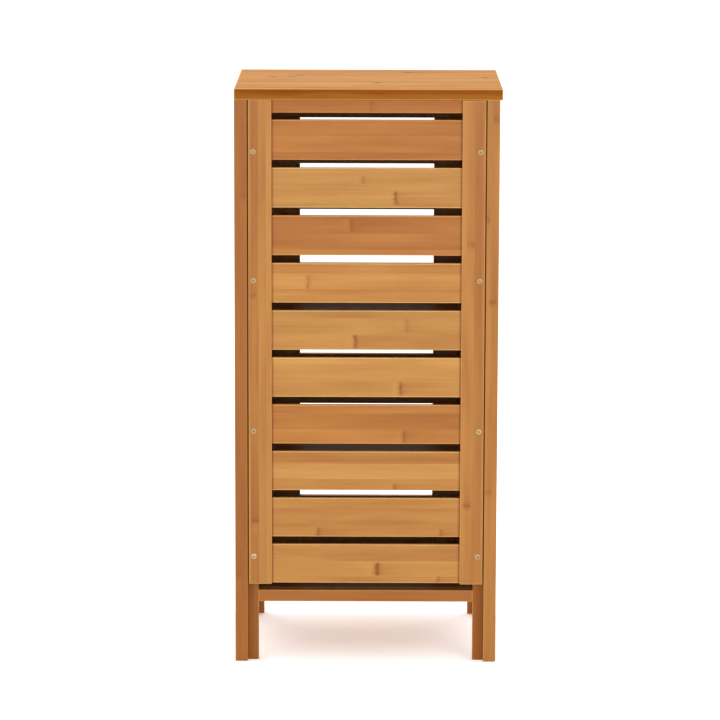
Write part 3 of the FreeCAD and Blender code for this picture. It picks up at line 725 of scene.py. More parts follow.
@dataclass
class Board:
    """One bamboo board of the frame and how its bamboo looks.

    Args:
        node: The CAD node.
        lay: How fibres and strips run.
        finish: Its bamboo.
        light: Lighter or darker than the finish.
        red: Redder than the finish.
        marks: Node marks chosen for it; without any, the pattern scatters its own.
        hidden: Length of a tenon at each end, which the marks' shares leave out.
        seam: Share of the width at which two strips meet.
        name: Name of the material, if it isn't the node's.
    """

    node: str
    lay: Lay
    finish: Bamboo = HONEY
    light: float = 0.0
    red: float = 0.0
    marks: tuple[Mark, ...] = ()
    hidden: float = 0.0
    seam: Optional[float] = None
    name: str = ""
    low: Vector = field(init=False)
    high: Vector = field(init=False)

    def __post_init__(self) -> None:
        """Take the board's box from the frame."""
        self.low, self.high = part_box(self.node)

    @property
    def seed(self) -> float:
        """A number of the board's own, the same in every run."""
        return (zlib.crc32(self.node.encode()) % 997) / 10.0

    def spot(self, mark: Mark) -> Vector:
        """Where a mark is, in the pattern's own axes from the board's centre."""
        half = self.half
        return Vector(((mark.along * 2 - 1) * (half.x - self.hidden), (mark.across * 2 - 1) * half.y, 0.0))

    @property
    def shift(self) -> float:
        """Move the strips across, so that two meet at the seam or the first mark is in the middle of one.

        Returns:
            The distance.
        """
        if self.seam is not None:
            return (1 - self.seam * 2) * self.half.y
        if not self.marks:
            return self.seed * MM
        return self.finish.strip / 2 - self.spot(self.marks[0]).y

    @property
    def half(self) -> Vector:
        """Half sizes of the board along the pattern's axes."""
        turned = self.lay.turn @ ((self.high - self.low) / 2)
        return Vector((abs(turned.x), abs(turned.y), abs(turned.z)))

    def material(self) -> bpy.types.Material:
        """Build the board's own bamboo.

        Returns:
            A material with lamination, fibres, nodes, end grain, edges lightened partly for wear and partly
            as a painted highlight, and lacquer.
        """
        made = bpy.data.materials.new("bamboo_" + (self.name or self.node))
        made.use_nodes = True
        graph = Graph(made.node_tree)
        shader = made.node_tree.nodes["Principled BSDF"]
        seat = graph.add("TexCoord")
        mapping = graph.add("Mapping")
        centre = (self.low + self.high) / 2
        mapping.inputs["Rotation"].default_value = self.lay.turn.to_euler()
        mapping.inputs["Location"].default_value = -(self.lay.turn @ centre)
        graph.feed(mapping.inputs["Vector"], seat.outputs["Object"])
        place = mapping.outputs[0]
        run = Vector(self.lay.value[0])
        facing = graph.math("ABSOLUTE", graph.vector("DOT_PRODUCT", seat.outputs["Normal"], run))
        upward = graph.smooth(graph.vector("DOT_PRODUCT", seat.outputs["Normal"], (0, 0, 1)), 0.5, 0.95)
        edge = graph.place(EdgeGroup().get(), Place=place, Half=self.half, Width=self.finish.edge)
        dark, halo, tail = self.marked(graph, place)
        pale, deep = self.finish.tinted(self.light, self.red)
        cane = graph.place(
            CaneGroup().get(), Place=place, Seed=self.seed, Strip=self.finish.strip,
            Layer=self.finish.layer, Shift=self.shift, Pale=pale, Deep=deep, Burnt=self.finish.burnt,
            Spread=self.finish.spread, Node_Gap=self.finish.node_gap,
            Nodes=0.0 if self.marks else self.finish.nodes, Mark=dark, Halo=halo, Tail=tail,
            End=graph.smooth(facing, 0.7, 0.85), Edge=edge.outputs["Edge"])
        skin = graph.place(LacquerGroup().get(), Place=seat.outputs["Object"], Rough=cane.outputs["Rough"],
                           Seed=self.seed, Upward=upward)
        colour = graph.mix(skin.outputs["Dust"], cane.outputs["Colour"], DUST)
        # Painted shade along the ends beside the stiles.
        if self.hidden:
            colour = self.shade_slat_ends(graph, place, colour)
        if self.finish.rim:
            colour = self.stained_rim(graph, place, seat.outputs["Normal"], colour)
        graph.feed(shader.inputs["Base Color"], colour)
        graph.feed(shader.inputs["Roughness"], skin.outputs["Rough"])
        self.polish(graph, shader, cane, skin)
        return made

    def shade_slat_ends(self, graph: Graph, place: Feed, colour: Feed) -> bpy.types.NodeSocket:
        """Painted shade: darken the last millimetres before the board goes into its stile, where the stile
        shades the recessed board.

        Args:
            graph: The material's tree.
            place: Place on the board, in the pattern's axes.
            colour: The bamboo's colour.

        Returns:
            The stained colour.
        """
        open_half = self.half.x - self.hidden
        along = graph.math("ABSOLUTE", graph.split(place)[0])
        near = graph.smooth(along, open_half - 4 * MM, open_half - MM)
        return graph.mix(near, colour, graph.mix(1.0, colour, SLAT_END_SHADE, "MULTIPLY"))

    def stained_rim(self, graph: Graph, place: Feed, normal: Feed, colour: Feed) -> bpy.types.NodeSocket:
        """Darken the faces at the sides of the strips, unevenly and more towards the top.

        Args:
            graph: The material's tree.
            place: Place on the board, in the pattern's axes.
            normal: The surface's normal.
            colour: The bamboo's colour.

        Returns:
            The stained colour.
        """
        across = Vector(self.lay.value[1])
        side = graph.math("ABSOLUTE", graph.vector("DOT_PRODUCT", normal, across))
        smudge = graph.noise(graph.vector("MULTIPLY", place, (5, 5, 70)), detail=2)
        rise = graph.math("DIVIDE", graph.split(place)[2], self.half.z)
        rise = graph.math("MULTIPLY_ADD", graph.math("SUBTRACT", smudge, 0.5), 3.0, rise)
        share = graph.math("MULTIPLY", graph.smooth(rise, -0.5, 0.5, 0.72, 1.0), self.finish.rim)
        share = graph.math("MULTIPLY", graph.smooth(side, 0.6, 0.95), share)
        return graph.mix(share, colour, graph.mix(1.0, colour, RIM_STAIN, "MULTIPLY"))

    def polish(self, graph: Graph, shader: bpy.types.Node, cane: bpy.types.Node,
               skin: bpy.types.Node) -> None:
        """Add the relief and the lacquer's gloss to the shader.

        Args:
            graph: The material's tree.
            shader: The Principled BSDF.
            cane: The placed pattern of the bamboo.
            skin: The placed pattern of the lacquer.
        """
        grain = graph.add("Bump")
        grain.inputs["Strength"].default_value = self.finish.bump
        grain.inputs["Distance"].default_value = 0.4 * MM
        graph.feed(grain.inputs["Height"], cane.outputs["Height"])
        peel = graph.add("Bump")
        peel.inputs["Strength"].default_value = 0.05
        peel.inputs["Distance"].default_value = 0.2 * MM
        graph.feed(peel.inputs["Height"], skin.outputs["Skin"])
        graph.feed(peel.inputs["Normal"], grain.outputs[0])
        graph.feed(shader.inputs["Normal"], peel.outputs[0])
        shader.inputs["Coat Weight"].default_value = self.finish.coat
        shader.inputs["Coat Roughness"].default_value = 0.28
        shader.inputs["Specular IOR Level"].default_value = self.finish.gloss

    def marked(self, graph: Graph, place: Feed) -> list[Feed]:
        """Lay the chosen node marks over each other.

        Args:
            graph: The material's tree.
            place: Place on the board, in the pattern's axes.

        Returns:
            The dark and the pale part and the darker strip beside it, or zeros where there are no marks.
        """
        layers: list[Feed] = [0.0, 0.0, 0.0]
        for mark in self.marks:
            spot = graph.place(MarkGroup().get(), Place=place, Spot=self.spot(mark), Tall=mark.tall,
                               Wide=mark.wide, Strength=mark.strength)
            layers = [graph.math("MAXIMUM", old, new) for old, new in zip(layers, spot.outputs)]
        return layers

    def dress(self) -> None:
        """Give the CAD node its bamboo."""
        piece = frame["nodes"][self.node]
        made = self.material()
        for slot in piece.material_slots:
            slot.material = made
        LOG.info("dressed %s", self.node)


class Assembly:
    """Boards that are made and dressed together."""

    def boards(self) -> Iterable[Board]:
        """Give the assembly's boards; each assembly has its own."""
        raise NotImplementedError

    def dress(self) -> None:
        """Dress every board."""
        for board in self.boards():
            board.dress()


# ------------------------------------------------------------------ the cabinet's boards


@dataclass
class Legs(Assembly):
    """Four posts and the battens beside them.

    Args:
        post: Bamboo of a post, two strips wide.
        batten: Bamboo of a batten, one strip wide.
    """

    post: Bamboo = replace(HONEY, strip=9.5 * MM, layer=5.8 * MM, spread=0.6, node_gap=0.29, edge=MM)
    batten: Bamboo = replace(HONEY, strip=16.2 * MM, layer=5.3 * MM, spread=0.4, edge=MM, gloss=0.1)

    def boards(self) -> Iterable[Board]:
        """Give the posts and the battens."""
        yield Board("post_rear_left", Lay.FACE_Z, self.post, light=-0.32, red=0.26,
                    marks=(Mark(0.83, 0.7, 0.8, 5 * MM, 6 * MM), Mark(0.157, 0.3, 0.7, 5 * MM, 6 * MM)))
        yield Board("post_rear_right", Lay.FACE_Z, self.post, light=-0.23, red=0.14,
                    marks=(Mark(0.965, 0.7, 0.8, 5 * MM, 6 * MM), Mark(0.645, 0.55, 0.9, 7 * MM, 6.5 * MM),
                           Mark(0.79, 0.12, 0.6, 4 * MM, 9 * MM), Mark(0.305, 0.3, 0.6, 6 * MM, 6 * MM)))
        yield Board("post_front_left", Lay.FACE_Z, self.post, light=-0.05, red=0.05)
        yield Board("post_front_right", Lay.FACE_Z, self.post)
        for place, light in (("rear_left", -0.38), ("rear_right", -0.28), ("front_left", -0.14),
                             ("front_right", -0.12)):
            yield Board("batten_" + place, Lay.FACE_Z, self.batten, light=light, red=0.24)


@dataclass
class ClosedBack(Assembly):
    """Two stiles, a top rail and ten slats.

    Args:
        slat: Bamboo of the slats and the rail.
        stile: Bamboo of the stiles.
        tenon: Length of a slat that is hidden at each end.
    """

    slat: Bamboo = replace(HONEY, nodes=0.0)
    stile: Bamboo = replace(HONEY, strip=11.4 * MM, spread=0.5, edge=1.3 * MM)
    tenon: float = 10 * MM

    def boards(self) -> Iterable[Board]:
        """Give the stiles, the rail and the slats from the top down."""
        yield Board("back_stile_left", Lay.FACE_Z, self.stile, light=-0.16, red=0.09,
                    marks=(Mark(0.132, 0.27, 0.9, 7 * MM, 6 * MM), Mark(0.6, 0.2, 0.5, tall=6 * MM)))
        yield Board("back_stile_right", Lay.FACE_Z, self.stile, light=-0.15, red=0.10,
                    marks=(Mark(0.705, 0.4, 0.6, 7 * MM, 8 * MM), Mark(0.165, 0.3, 0.8, 7 * MM, 6 * MM)))
        yield self.row("back_top_rail", -0.28, 0.31, (Mark(0.52, 0.5, 0.5),))
        rows = (
            (10, -0.18, 0.19, (), 0.60),
            (9, -0.03, -0.06, (Mark(0.65, 0.24, 1.0), Mark(0.48, 0.71, 0.45, tall=7 * MM))),
            (8, -0.15, 0.17, (Mark(0.42, 0.76, 0.9),)),
            (7, 0.00, 0.00, (Mark(0.19, 0.52, 0.6),), 0.75),
            (6, -0.05, -0.05, (Mark(0.44, 0.21, 1.1), Mark(0.71, 0.63, 0.4))),
            (5, 0.02, -0.06, (Mark(0.68, 0.21, 1.0),)),
            (4, -0.10, 0.14, (Mark(0.70, 0.17, 0.9),)),
            (3, -0.05, 0.00, (Mark(0.65, 0.08, 0.8, tall=6 * MM),)),
            (2, -0.08, 0.02, (Mark(0.245, 0.12, 0.9, tall=8 * MM), Mark(0.90, 0.10, 0.7, tall=7 * MM))),
            (1, -0.04, -0.02, (Mark(0.56, 0.36, 1.4, tall=12 * MM, wide=5 * MM),
                               Mark(0.885, 0.10, 0.6, tall=6 * MM))),
        )
        for number, *looks in rows:
            yield self.row("back_slat_%02d" % number, *looks)

    def row(self, node: str, light: float, red: float, marks: tuple[Mark, ...],
            seam: Optional[float] = None) -> Board:
        """Make one cross piece of the back."""
        return Board(node, Lay.FACE_X, self.slat, light, red, marks, self.tenon, seam)


@dataclass
class Carcase(Assembly):
    """Top, sides, shelves, rails and cleats.

    Args:
        top: Bamboo of the top board.
        side: Bamboo of the sides.
        inner: Bamboo of the shelves.
        rail: Bamboo of the rails.
    """

    top: Bamboo = replace(HONEY, strip=20 * MM, layer=5 * MM, rim=1.0, spread=0.4, gloss=0.01, coat=0.0)
    side: Bamboo = replace(HONEY, strip=20.5 * MM, layer=4 * MM, edge=MM)
    inner: Bamboo = replace(HONEY, strip=20 * MM, layer=5 * MM, spread=0.55)
    rail: Bamboo = replace(HONEY, strip=19 * MM, layer=5.3 * MM)

    def boards(self) -> Iterable[Board]:
        """Give the boards from the top down."""
        spots = ((0.13, 0.61, 0.9), (0.20, 0.63, 0.8), (0.23, 0.70, 0.9), (0.53, 0.31, 1.0),
                 (0.65, 0.85, 1.3), (0.945, 0.58, 1.0))
        marks = tuple(Mark(*spot, tall=10 * MM, wide=8 * MM) for spot in spots)
        yield Board("top_board", Lay.FLAT_X, self.top, light=0.08, red=0.03, marks=marks)
        # The shelves are lighter and redder as painted light, so the inside seen through the gaps is less
        # dark.
        for name in ("upper_shelf", "lower_shelf", "bottom_board"):
            yield Board(name, Lay.FLAT_X, self.inner, light=0.10, red=0.10)
        for side in ("left", "right"):
            # The side panels are slightly lighter and redder as painted light inside the cabinet.
            yield Board("side_panel_" + side, Lay.SIDE_Z, self.side, light=0.03, red=0.05)
            yield Board("side_top_rail_" + side, Lay.SIDE_Y, self.rail, light=-0.03, red=0.03)
            yield Board("side_bottom_rail_" + side, Lay.SIDE_Y, self.rail, light=-0.05, red=0.03)
            yield Board("shelf_cleats_" + side, Lay.SIDE_Y, self.rail, light=-0.05, red=0.05)
        for name in ("rear_top_rail", "front_top_rail", "rear_bottom_rail", "front_bottom_rail"):
            yield Board(name, Lay.FACE_X, self.rail, light=-0.26, red=0.23)


@dataclass
class Door(Assembly):
    """Stiles, rails and slats of the door.

    Args:
        frame: Bamboo of the stiles and rails.
        slat: Bamboo of the slats.
        rows: How many slats the door has.
    """

    frame: Bamboo = replace(HONEY, strip=18.4 * MM, layer=4 * MM)
    slat: Bamboo = HONEY
    rows: int = 7

    def boards(self) -> Iterable[Board]:
        """Give the door's boards."""
        for name in ("door_hinge_stile", "door_knob_stile"):
            yield Board(name, Lay.FACE_Z, self.frame, light=-0.02, red=0.03)
        for name in ("door_top_rail", "door_middle_rail", "door_bottom_rail"):
            yield Board(name, Lay.FACE_X, self.frame, light=0.0, red=0.03)
        tones = random.Random(7)
        for number in range(1, self.rows + 1):
            yield Board("door_slat_%d" % number, Lay.FACE_X, self.slat, light=tones.uniform(-0.06, 0.04),
                        red=tones.uniform(-0.02, 0.05))


# ------------------------------------------------------------------ new pieces


@dataclass
class Piece:
    """A piece that stands for CAD nodes.

    Args:
        name: The piece's name.
        body: The body it rides on.
        slot: A finish name; not used.
        nodes: The CAD nodes it stands for.
    """

    name: str
    body: str
    slot: str
    nodes: tuple[str, ...]

    def shape(self, bm: bmesh.types.BMesh) -> None:
        """Fill the mesh, in the cabinet's own frame; each kind of piece has its own."""
        raise NotImplementedError

    def material(self) -> bpy.types.Material:
        """Make the piece's material; each kind of piece has its own."""
        raise NotImplementedError

    def make(self) -> bpy.types.Object:
        """Build the piece, dress it and set it in the frame.

        Returns:
            The finished object.
        """
        bm = bmesh.new()
        self.shape(bm)
        bmesh.ops.recalc_face_normals(bm, faces=bm.faces)
        mesh = bpy.data.meshes.new(self.name)
        bm.to_mesh(mesh)
        bm.free()
        mesh.shade_smooth()
        mesh.set_sharp_from_angle(angle=math.radians(40))
        mesh.materials.append(self.material())
        piece = bpy.data.objects.new(self.name, mesh)
        bpy.context.scene.collection.objects.link(piece)
        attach(piece, self.body)
        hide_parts(*self.nodes)
        LOG.info("made %s: %d faces", self.name, len(mesh.polygons))
        return piece


@dataclass(frozen=True)
class Metal:
    """A plated metal.

    Args:
        bright: Its clean colour.
        stain: Its dull colour.
        rough: Roughness of a clean spot.
        lines: How finely the rolling lines run in each direction.
    """

    bright: Colour
    stain: Colour
    rough: float
    lines: tuple[float, float, float] = (300, 300, 3000)

    def material(self, name: str) -> bpy.types.Material:
        """Build the metal's material.

        Args:
            name: Name of the material.

        Returns:
            The material.
        """
        made = bpy.data.materials.new(name)
        made.use_nodes = True
        graph = Graph(made.node_tree)
        shader = made.node_tree.nodes["Principled BSDF"]
        seat = graph.add("TexCoord")
        metal = graph.place(MetalGroup().get(), Place=seat.outputs["Object"], Bright=self.bright,
                            Stain=self.stain, Rough=self.rough, Lines=self.lines)
        bump = graph.add("Bump")
        bump.inputs["Strength"].default_value = 0.15
        bump.inputs["Distance"].default_value = 0.05 * MM
        graph.feed(bump.inputs["Height"], metal.outputs["Height"])
        graph.feed(shader.inputs["Base Color"], metal.outputs["Colour"])
        graph.feed(shader.inputs["Roughness"], metal.outputs["Rough"])
        graph.feed(shader.inputs["Normal"], bump.outputs[0])
        shader.inputs["Metallic"].default_value = 1.0
        return made


ZINC = Metal(bright=(0.60, 0.46, 0.27), stain=(0.26, 0.16, 0.06), rough=0.34)
BRASSED = Metal(bright=(0.80, 0.60, 0.30), stain=(0.34, 0.22, 0.09), rough=0.3)
STEEL = Metal(bright=(0.72, 0.71, 0.69), stain=(0.38, 0.37, 0.36), rough=0.32, lines=(60, 900, 900))


class Head(Enum):
    """Kinds of screw head."""

    COUNTERSUNK = "countersunk"
    PAN = "pan"


@dataclass
class ScrewSet(Piece):
    """Cross-recess screws at the places of a CAD node's solids.

    Args:
        metal: Their plating.
        head: Kind of head.
        segments: Corners round a head.
        dome: Height of a countersunk head's crown over its radius.
        lift: How far a head stands off the wood over its radius.
        pan_dome: Height of a pan head's crown over its radius.
        pan_side: Height of a pan head's side over its radius.
        cone: Depth of a countersunk head's cone over its radius.
        cross_long: Reach of the cross recess over the head's radius.
        cross_wide: Half the width of one of its bars over the head's radius.
        cross_deep: Its depth over the head's radius.
        cross_floor: Size of its floor over its opening.
        tip: Length of the screw's tip over the shank's radius.
        clear: How far the tip stays from its hole's end over the shank's radius.
        ease: Rounding of the head's outer edge over its radius.
    """

    metal: Metal = ZINC
    head: Head = Head.COUNTERSUNK
    segments: int = 32
    dome: float = 0.1
    lift: float = 0.05
    pan_dome: float = 0.25
    pan_side: float = 0.35
    cone: float = 0.5
    cross_long: float = 0.58
    cross_wide: float = 0.12
    cross_deep: float = 0.5
    cross_floor: float = 0.6
    tip: float = 2.4
    clear: float = 0.1
    ease: float = 0.05

    def material(self) -> bpy.types.Material:
        """Plated metal."""
        return self.metal.material(self.name)

    def shape(self, bm: bmesh.types.BMesh) -> None:
        """Set one screw in every solid of the node, each turned by its own angle.

        Args:
            bm: The mesh to fill.
        """
        turns = random.Random(len(self.name))
        for points in solids(self.nodes[0]):
            seat = ScrewSeat.of(points)
            one = self.screw(seat)
            spin = Matrix.Rotation(turns.uniform(0, math.pi / 2), 4, "Z")
            aim = Vector((0, 0, 1)).rotation_difference(seat.into).to_matrix().to_4x4()
            off = seat.into * (self.lift * seat.head)
            one.transform(Matrix.Translation(seat.point - off) @ aim @ spin)
            bm.from_mesh(one)
            bpy.data.meshes.remove(one)

    def screw(self, seat: "ScrewSeat") -> bpy.types.Mesh:
        """Make one screw that points along +Z, its head's outer face at the origin.

        Args:
            seat: Its sizes.

        Returns:
            A mesh that the caller removes.
        """
        bm = bmesh.new()
        bmesh.ops.create_circle(bm, cap_ends=True, radius=seat.head, segments=self.segments)
        long, wide = self.cross_long * seat.head, self.cross_wide * seat.head
        for axis in (Vector((1, 0, 0)), Vector((0, 1, 0))):
            for offset in (-long, -wide, wide, long):
                bmesh.ops.bisect_plane(bm, geom=[*bm.verts, *bm.edges, *bm.faces], plane_co=axis * offset,
                                       plane_no=axis, dist=1e-7)
        for vert in bm.verts:
            share = vert.co.length / seat.head
            vert.co.z = -self.crown(seat) * (1 - share * share)
        cross = [f for f in bm.faces if self.in_cross(f.calc_center_median(), long, wide)]
        pressed = bmesh.ops.extrude_face_region(bm, geom=cross)
        floor = [v for v in pressed["geom"] if isinstance(v, bmesh.types.BMVert)]
        bmesh.ops.delete(bm, geom=[f for f in cross if f.is_valid], context="FACES")
        bmesh.ops.scale(bm, vec=(self.cross_floor, self.cross_floor, 1), verts=floor)
        bmesh.ops.translate(bm, vec=(0, 0, self.cross_deep * seat.head), verts=floor)
        rim = [e for e in bm.edges if e.is_boundary]
        deep = self.cone * seat.head
        if self.head is Head.PAN:
            rim = self.grow(bm, rim, 1.0, self.pan_side * seat.head)
            rim = self.grow(bm, rim, seat.shank / seat.head, 0)
        else:
            rim = self.grow(bm, rim, seat.shank / seat.head, deep)
        rim = self.grow(bm, rim, 1.0, seat.long - (self.tip + self.clear) * seat.shank - deep)
        self.grow(bm, rim, 0.05, self.tip * seat.shank)
        bmesh.ops.holes_fill(bm, edges=[e for e in bm.edges if e.is_boundary])
        edge = [e for e in bm.edges if e.is_valid and self.on_rim(e, seat)]
        bmesh.ops.bevel(bm, geom=edge, offset=self.ease * seat.head, segments=2, affect="EDGES",
                        profile=0.5, material=-1)
        bmesh.ops.recalc_face_normals(bm, faces=bm.faces)
        mesh = bpy.data.meshes.new("screw")
        bm.to_mesh(mesh)
        bm.free()
        return mesh

    def crown(self, seat: "ScrewSeat") -> float:
        """Height of the head's crown."""
        return seat.head * (self.pan_dome if self.head is Head.PAN else self.dome)

    @staticmethod
    def in_cross(point: Vector, long: float, wide: float) -> bool:
        """Whether a point of the head lies in the cross."""
        x, y = abs(point.x), abs(point.y)
        return min(x, y) < wide and max(x, y) < long

    @staticmethod
    def on_rim(edge: bmesh.types.BMEdge, seat: "ScrewSeat") -> bool:
        """Whether an edge lies on the head's outer circle."""
        return all(abs(v.co.xy.length - seat.head) < 1e-6 and abs(v.co.z) < 1e-6 for v in edge.verts)

    @staticmethod
    def grow(bm: bmesh.types.BMesh, rim: list, share: float, step: float) -> list:
        """Draw the outline one step further into the wood.

        Args:
            bm: The mesh.
            rim: The edges of the outline.
            share: Radius of the next outline over this one's.
            step: How far it goes.

        Returns:
            The edges of the new outline.
        """
        drawn = bmesh.ops.extrude_edge_only(bm, edges=rim)["geom"]
        verts = [v for v in drawn if isinstance(v, bmesh.types.BMVert)]
        bmesh.ops.scale(bm, vec=(share, share, 1), verts=verts)
        bmesh.ops.translate(bm, vec=(0, 0, step), verts=verts)
        return [e for e in drawn if isinstance(e, bmesh.types.BMEdge)]


@dataclass(frozen=True)
class ScrewSeat:
    """Where a screw of the frame sits.

    Args:
        point: Middle of its head's outer face.
        into: Direction in which it goes into the wood.
        head: Radius of its head.
        shank: Radius of its shank.
        long: Its length.
    """

    point: Vector
    into: Vector
    head: float
    shank: float
    long: float

    @staticmethod
    def of(points: list[Vector]) -> "ScrewSeat":
        """Read a screw's seat from the points of its solid.

        Args:
            points: The solid's points.

        Returns:
            The seat.
        """
        low = Vector(min(p[i] for p in points) for i in range(3))
        high = Vector(max(p[i] for p in points) for i in range(3))
        axis = max(range(3), key=lambda i: high[i] - low[i])
        middle = (low + high) / 2
        long = high[axis] - low[axis]

        def spread(end: float) -> float:
            """Radius of the solid at one end.

            Args:
                end: Place of the end along the screw.

            Returns:
                The radius.
            """
            near = [p - middle for p in points if abs(p[axis] - end) < 1e-5]
            for offset in near:
                offset[axis] = 0
            return max(offset.length for offset in near)

        at_low, at_high = spread(low[axis]), spread(high[axis])
        sign = 1 if at_low > at_high else -1
        into = Vector((0, 0, 0))
        into[axis] = sign
        return ScrewSeat(middle - into * long / 2, into, max(at_low, at_high), min(at_low, at_high), long)


def solids(node: str) -> list[list[Vector]]:
    """Split a CAD node into its separate solids.

    Args:
        node: The node's name.

    Returns:
        The points of each solid, sorted by place.
    """
    bm = bmesh.new()
    bm.from_mesh(frame["nodes"][node].data)
    bmesh.ops.remove_doubles(bm, verts=bm.verts, dist=1e-6)
    left = set(bm.verts)
    found = []
    for seed in bm.verts:
        if seed not in left:
            continue
        left.remove(seed)
        stack, island = [seed], []
        while stack:
            vert = stack.pop()
            island.append(vert.co.copy())
            for edge in vert.link_edges:
                other = edge.other_vert(vert)
                if other in left:
                    left.remove(other)
                    stack.append(other)
        found.append(island)
    bm.free()
    return sorted(found, key=lambda island: tuple(round(min(p[i] for p in island), 5) for i in range(3)))


@dataclass
class TurnedKnob(Piece):
    """Knob turned from laminated bamboo: foot, hollow neck, rounded rim and a domed head.

    Args:
        steps: Faces round the knob.
        foot: Radius of the foot over the widest one.
        bead: Height of the small bead above the foot over the knob's reach.
        bead_out: How far the bead stands out over the widest radius.
        neck_in: How far the neck is drawn in from the foot over the widest radius.
        hollow: Extra depth of the neck's hollow over the widest radius.
        head: Radius where the domed head begins over the widest one.
        rim_low: Where the rounded rim begins over the knob's reach.
        rim_high: Where it ends over the knob's reach.
        finish: Its bamboo.
    """

    steps: int = 64
    foot: float = 0.68
    bead: float = 0.09
    bead_out: float = 0.03
    neck_in: float = 0.1
    hollow: float = 0.05
    head: float = 0.97
    rim_low: float = 0.6
    rim_high: float = 0.74
    finish: Bamboo = replace(HONEY, strip=9 * MM, layer=9 * MM, coat=0.2, gloss=0.2)

    def shape(self, bm: bmesh.types.BMesh) -> None:
        """Turn the outline about the knob's own axis.

        Args:
            bm: The mesh to fill.
        """
        low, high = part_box(self.nodes[0])
        centre = (low + high) / 2
        radius, reach = (high.x - low.x) / 2, high.y - low.y
        last: Optional[bmesh.types.BMVert] = None
        for across, out in self.outline():
            vert = bm.verts.new((centre.x + across * radius, low.y + out * reach, centre.z))
            if last:
                bm.edges.new((last, vert))
            last = vert
        bmesh.ops.spin(bm, geom=[*bm.verts, *bm.edges], cent=(centre.x, low.y, centre.z), axis=(0, 1, 0),
                       angle=math.tau, steps=self.steps, use_merge=True, use_duplicate=False)
        bmesh.ops.remove_doubles(bm, verts=bm.verts, dist=1e-6)

    def outline(self) -> Iterable[tuple[float, float]]:
        """Give the outline from the foot's centre to the top.

        Returns:
            Points as shares of the widest radius and of the reach.
        """
        root = self.foot - self.bead_out
        yield 0.0, 0.0
        yield root, 0.0
        for step in range(1, 8):
            turn = math.pi * step / 8
            yield root + self.bead_out * math.sin(turn), self.bead * (1 - math.cos(turn)) / 2
        neck = self.foot - self.neck_in
        for step in range(0, 13):
            turn = math.pi * step / 12
            swell = (1 - math.cos(turn)) / 2
            across = neck + (self.head - neck) * swell ** 1.6 - self.hollow * math.sin(turn)
            yield across, self.bead + (self.rim_low - self.bead) * swell
        for step in range(0, 11):
            share = step / 10
            bulge = (1 - self.head) * math.sin(math.pi * share)
            yield self.head + bulge, self.rim_low + (self.rim_high - self.rim_low) * share
        for step in range(1, 17):
            turn = math.pi / 2 * step / 16
            yield self.head * math.cos(turn), self.rim_high + (1 - self.rim_high) * math.sin(turn)

    def material(self) -> bpy.types.Material:
        """Bamboo with its fibres upright, in layers of the door's frame."""
        return Board(self.nodes[0], Lay.FACE_Z, self.finish, light=0.02, red=0.02, name=self.name).material()


@dataclass
class MagneticCatch(Piece):
    """The moulded holder of a magnet, with a long pocket in its front.

    Args:
        round_off: Rounding of the holder's edges.
        inset: Width of the lip round the pocket.
        depth: Depth of the pocket.
        draft: How far the pocket's walls lean in.
    """

    round_off: float = 1.2 * MM
    inset: float = 2.2 * MM
    depth: float = 1.2 * MM
    draft: float = 0.2 * MM

    def shape(self, bm: bmesh.types.BMesh) -> None:
        """Round a block and press a long pocket into its front.

        Args:
            bm: The mesh to fill.
        """
        low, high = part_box(self.nodes[0])
        size = high - low
        place = Matrix.Translation((low + high) / 2) @ Matrix.Diagonal((*size, 1))
        bmesh.ops.create_cube(bm, size=1, matrix=place)
        bmesh.ops.bevel(bm, geom=list(bm.edges), offset=self.round_off, segments=4, affect="EDGES",
                        profile=0.5, material=-1)
        front = max(bm.faces, key=lambda f: f.calc_center_median().y * 10 + f.calc_area())
        bmesh.ops.inset_region(bm, faces=[front], thickness=self.inset, depth=0)
        bmesh.ops.inset_region(bm, faces=[front], thickness=self.draft, depth=-self.depth)

    def material(self) -> bpy.types.Material:
        """Dark moulded plastic."""
        return moulded(self.name, DARK_PLASTIC)


@dataclass
class PolePlates(Piece):
    """Two steel plates on edge in the catch's pocket, which carry the pull of its magnet.

    Args:
        metal: Their metal.
        lip: Width of the holder's lip, which they stay clear of.
        depth: How far they reach behind the holder's front.
        thick: Thickness of a plate.
        back: How far they stay behind the holder's front.
        ease: Rounding of a plate's edges.
    """

    metal: Metal = STEEL
    lip: float = 3.4 * MM
    depth: float = 4 * MM
    thick: float = 1.5 * MM
    back: float = 0.1 * MM
    ease: float = 0.25 * MM

    def shape(self, bm: bmesh.types.BMesh) -> None:
        """Set one plate at the upper side of the pocket and one at the lower.

        Args:
            bm: The mesh to fill.
        """
        low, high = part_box(self.nodes[0])
        size = Vector((high.x - low.x - 2 * self.lip, self.depth, self.thick))
        middle = Vector(((low.x + high.x) / 2, high.y - self.back - self.depth / 2, 0))
        for level in (low.z + self.lip + self.thick / 2, high.z - self.lip - self.thick / 2):
            middle.z = level
            place = Matrix.Translation(middle) @ Matrix.Diagonal((*size, 1))
            made = bmesh.ops.create_cube(bm, size=1, matrix=place)
            edges = {edge for vert in made["verts"] for edge in vert.link_edges}
            bmesh.ops.bevel(bm, geom=sorted(edges, key=lambda e: e.index), offset=self.ease, segments=3,
                            affect="EDGES", profile=0.5, material=-1)

    def material(self) -> bpy.types.Material:
        """Rolled steel."""
        return self.metal.material(self.name)


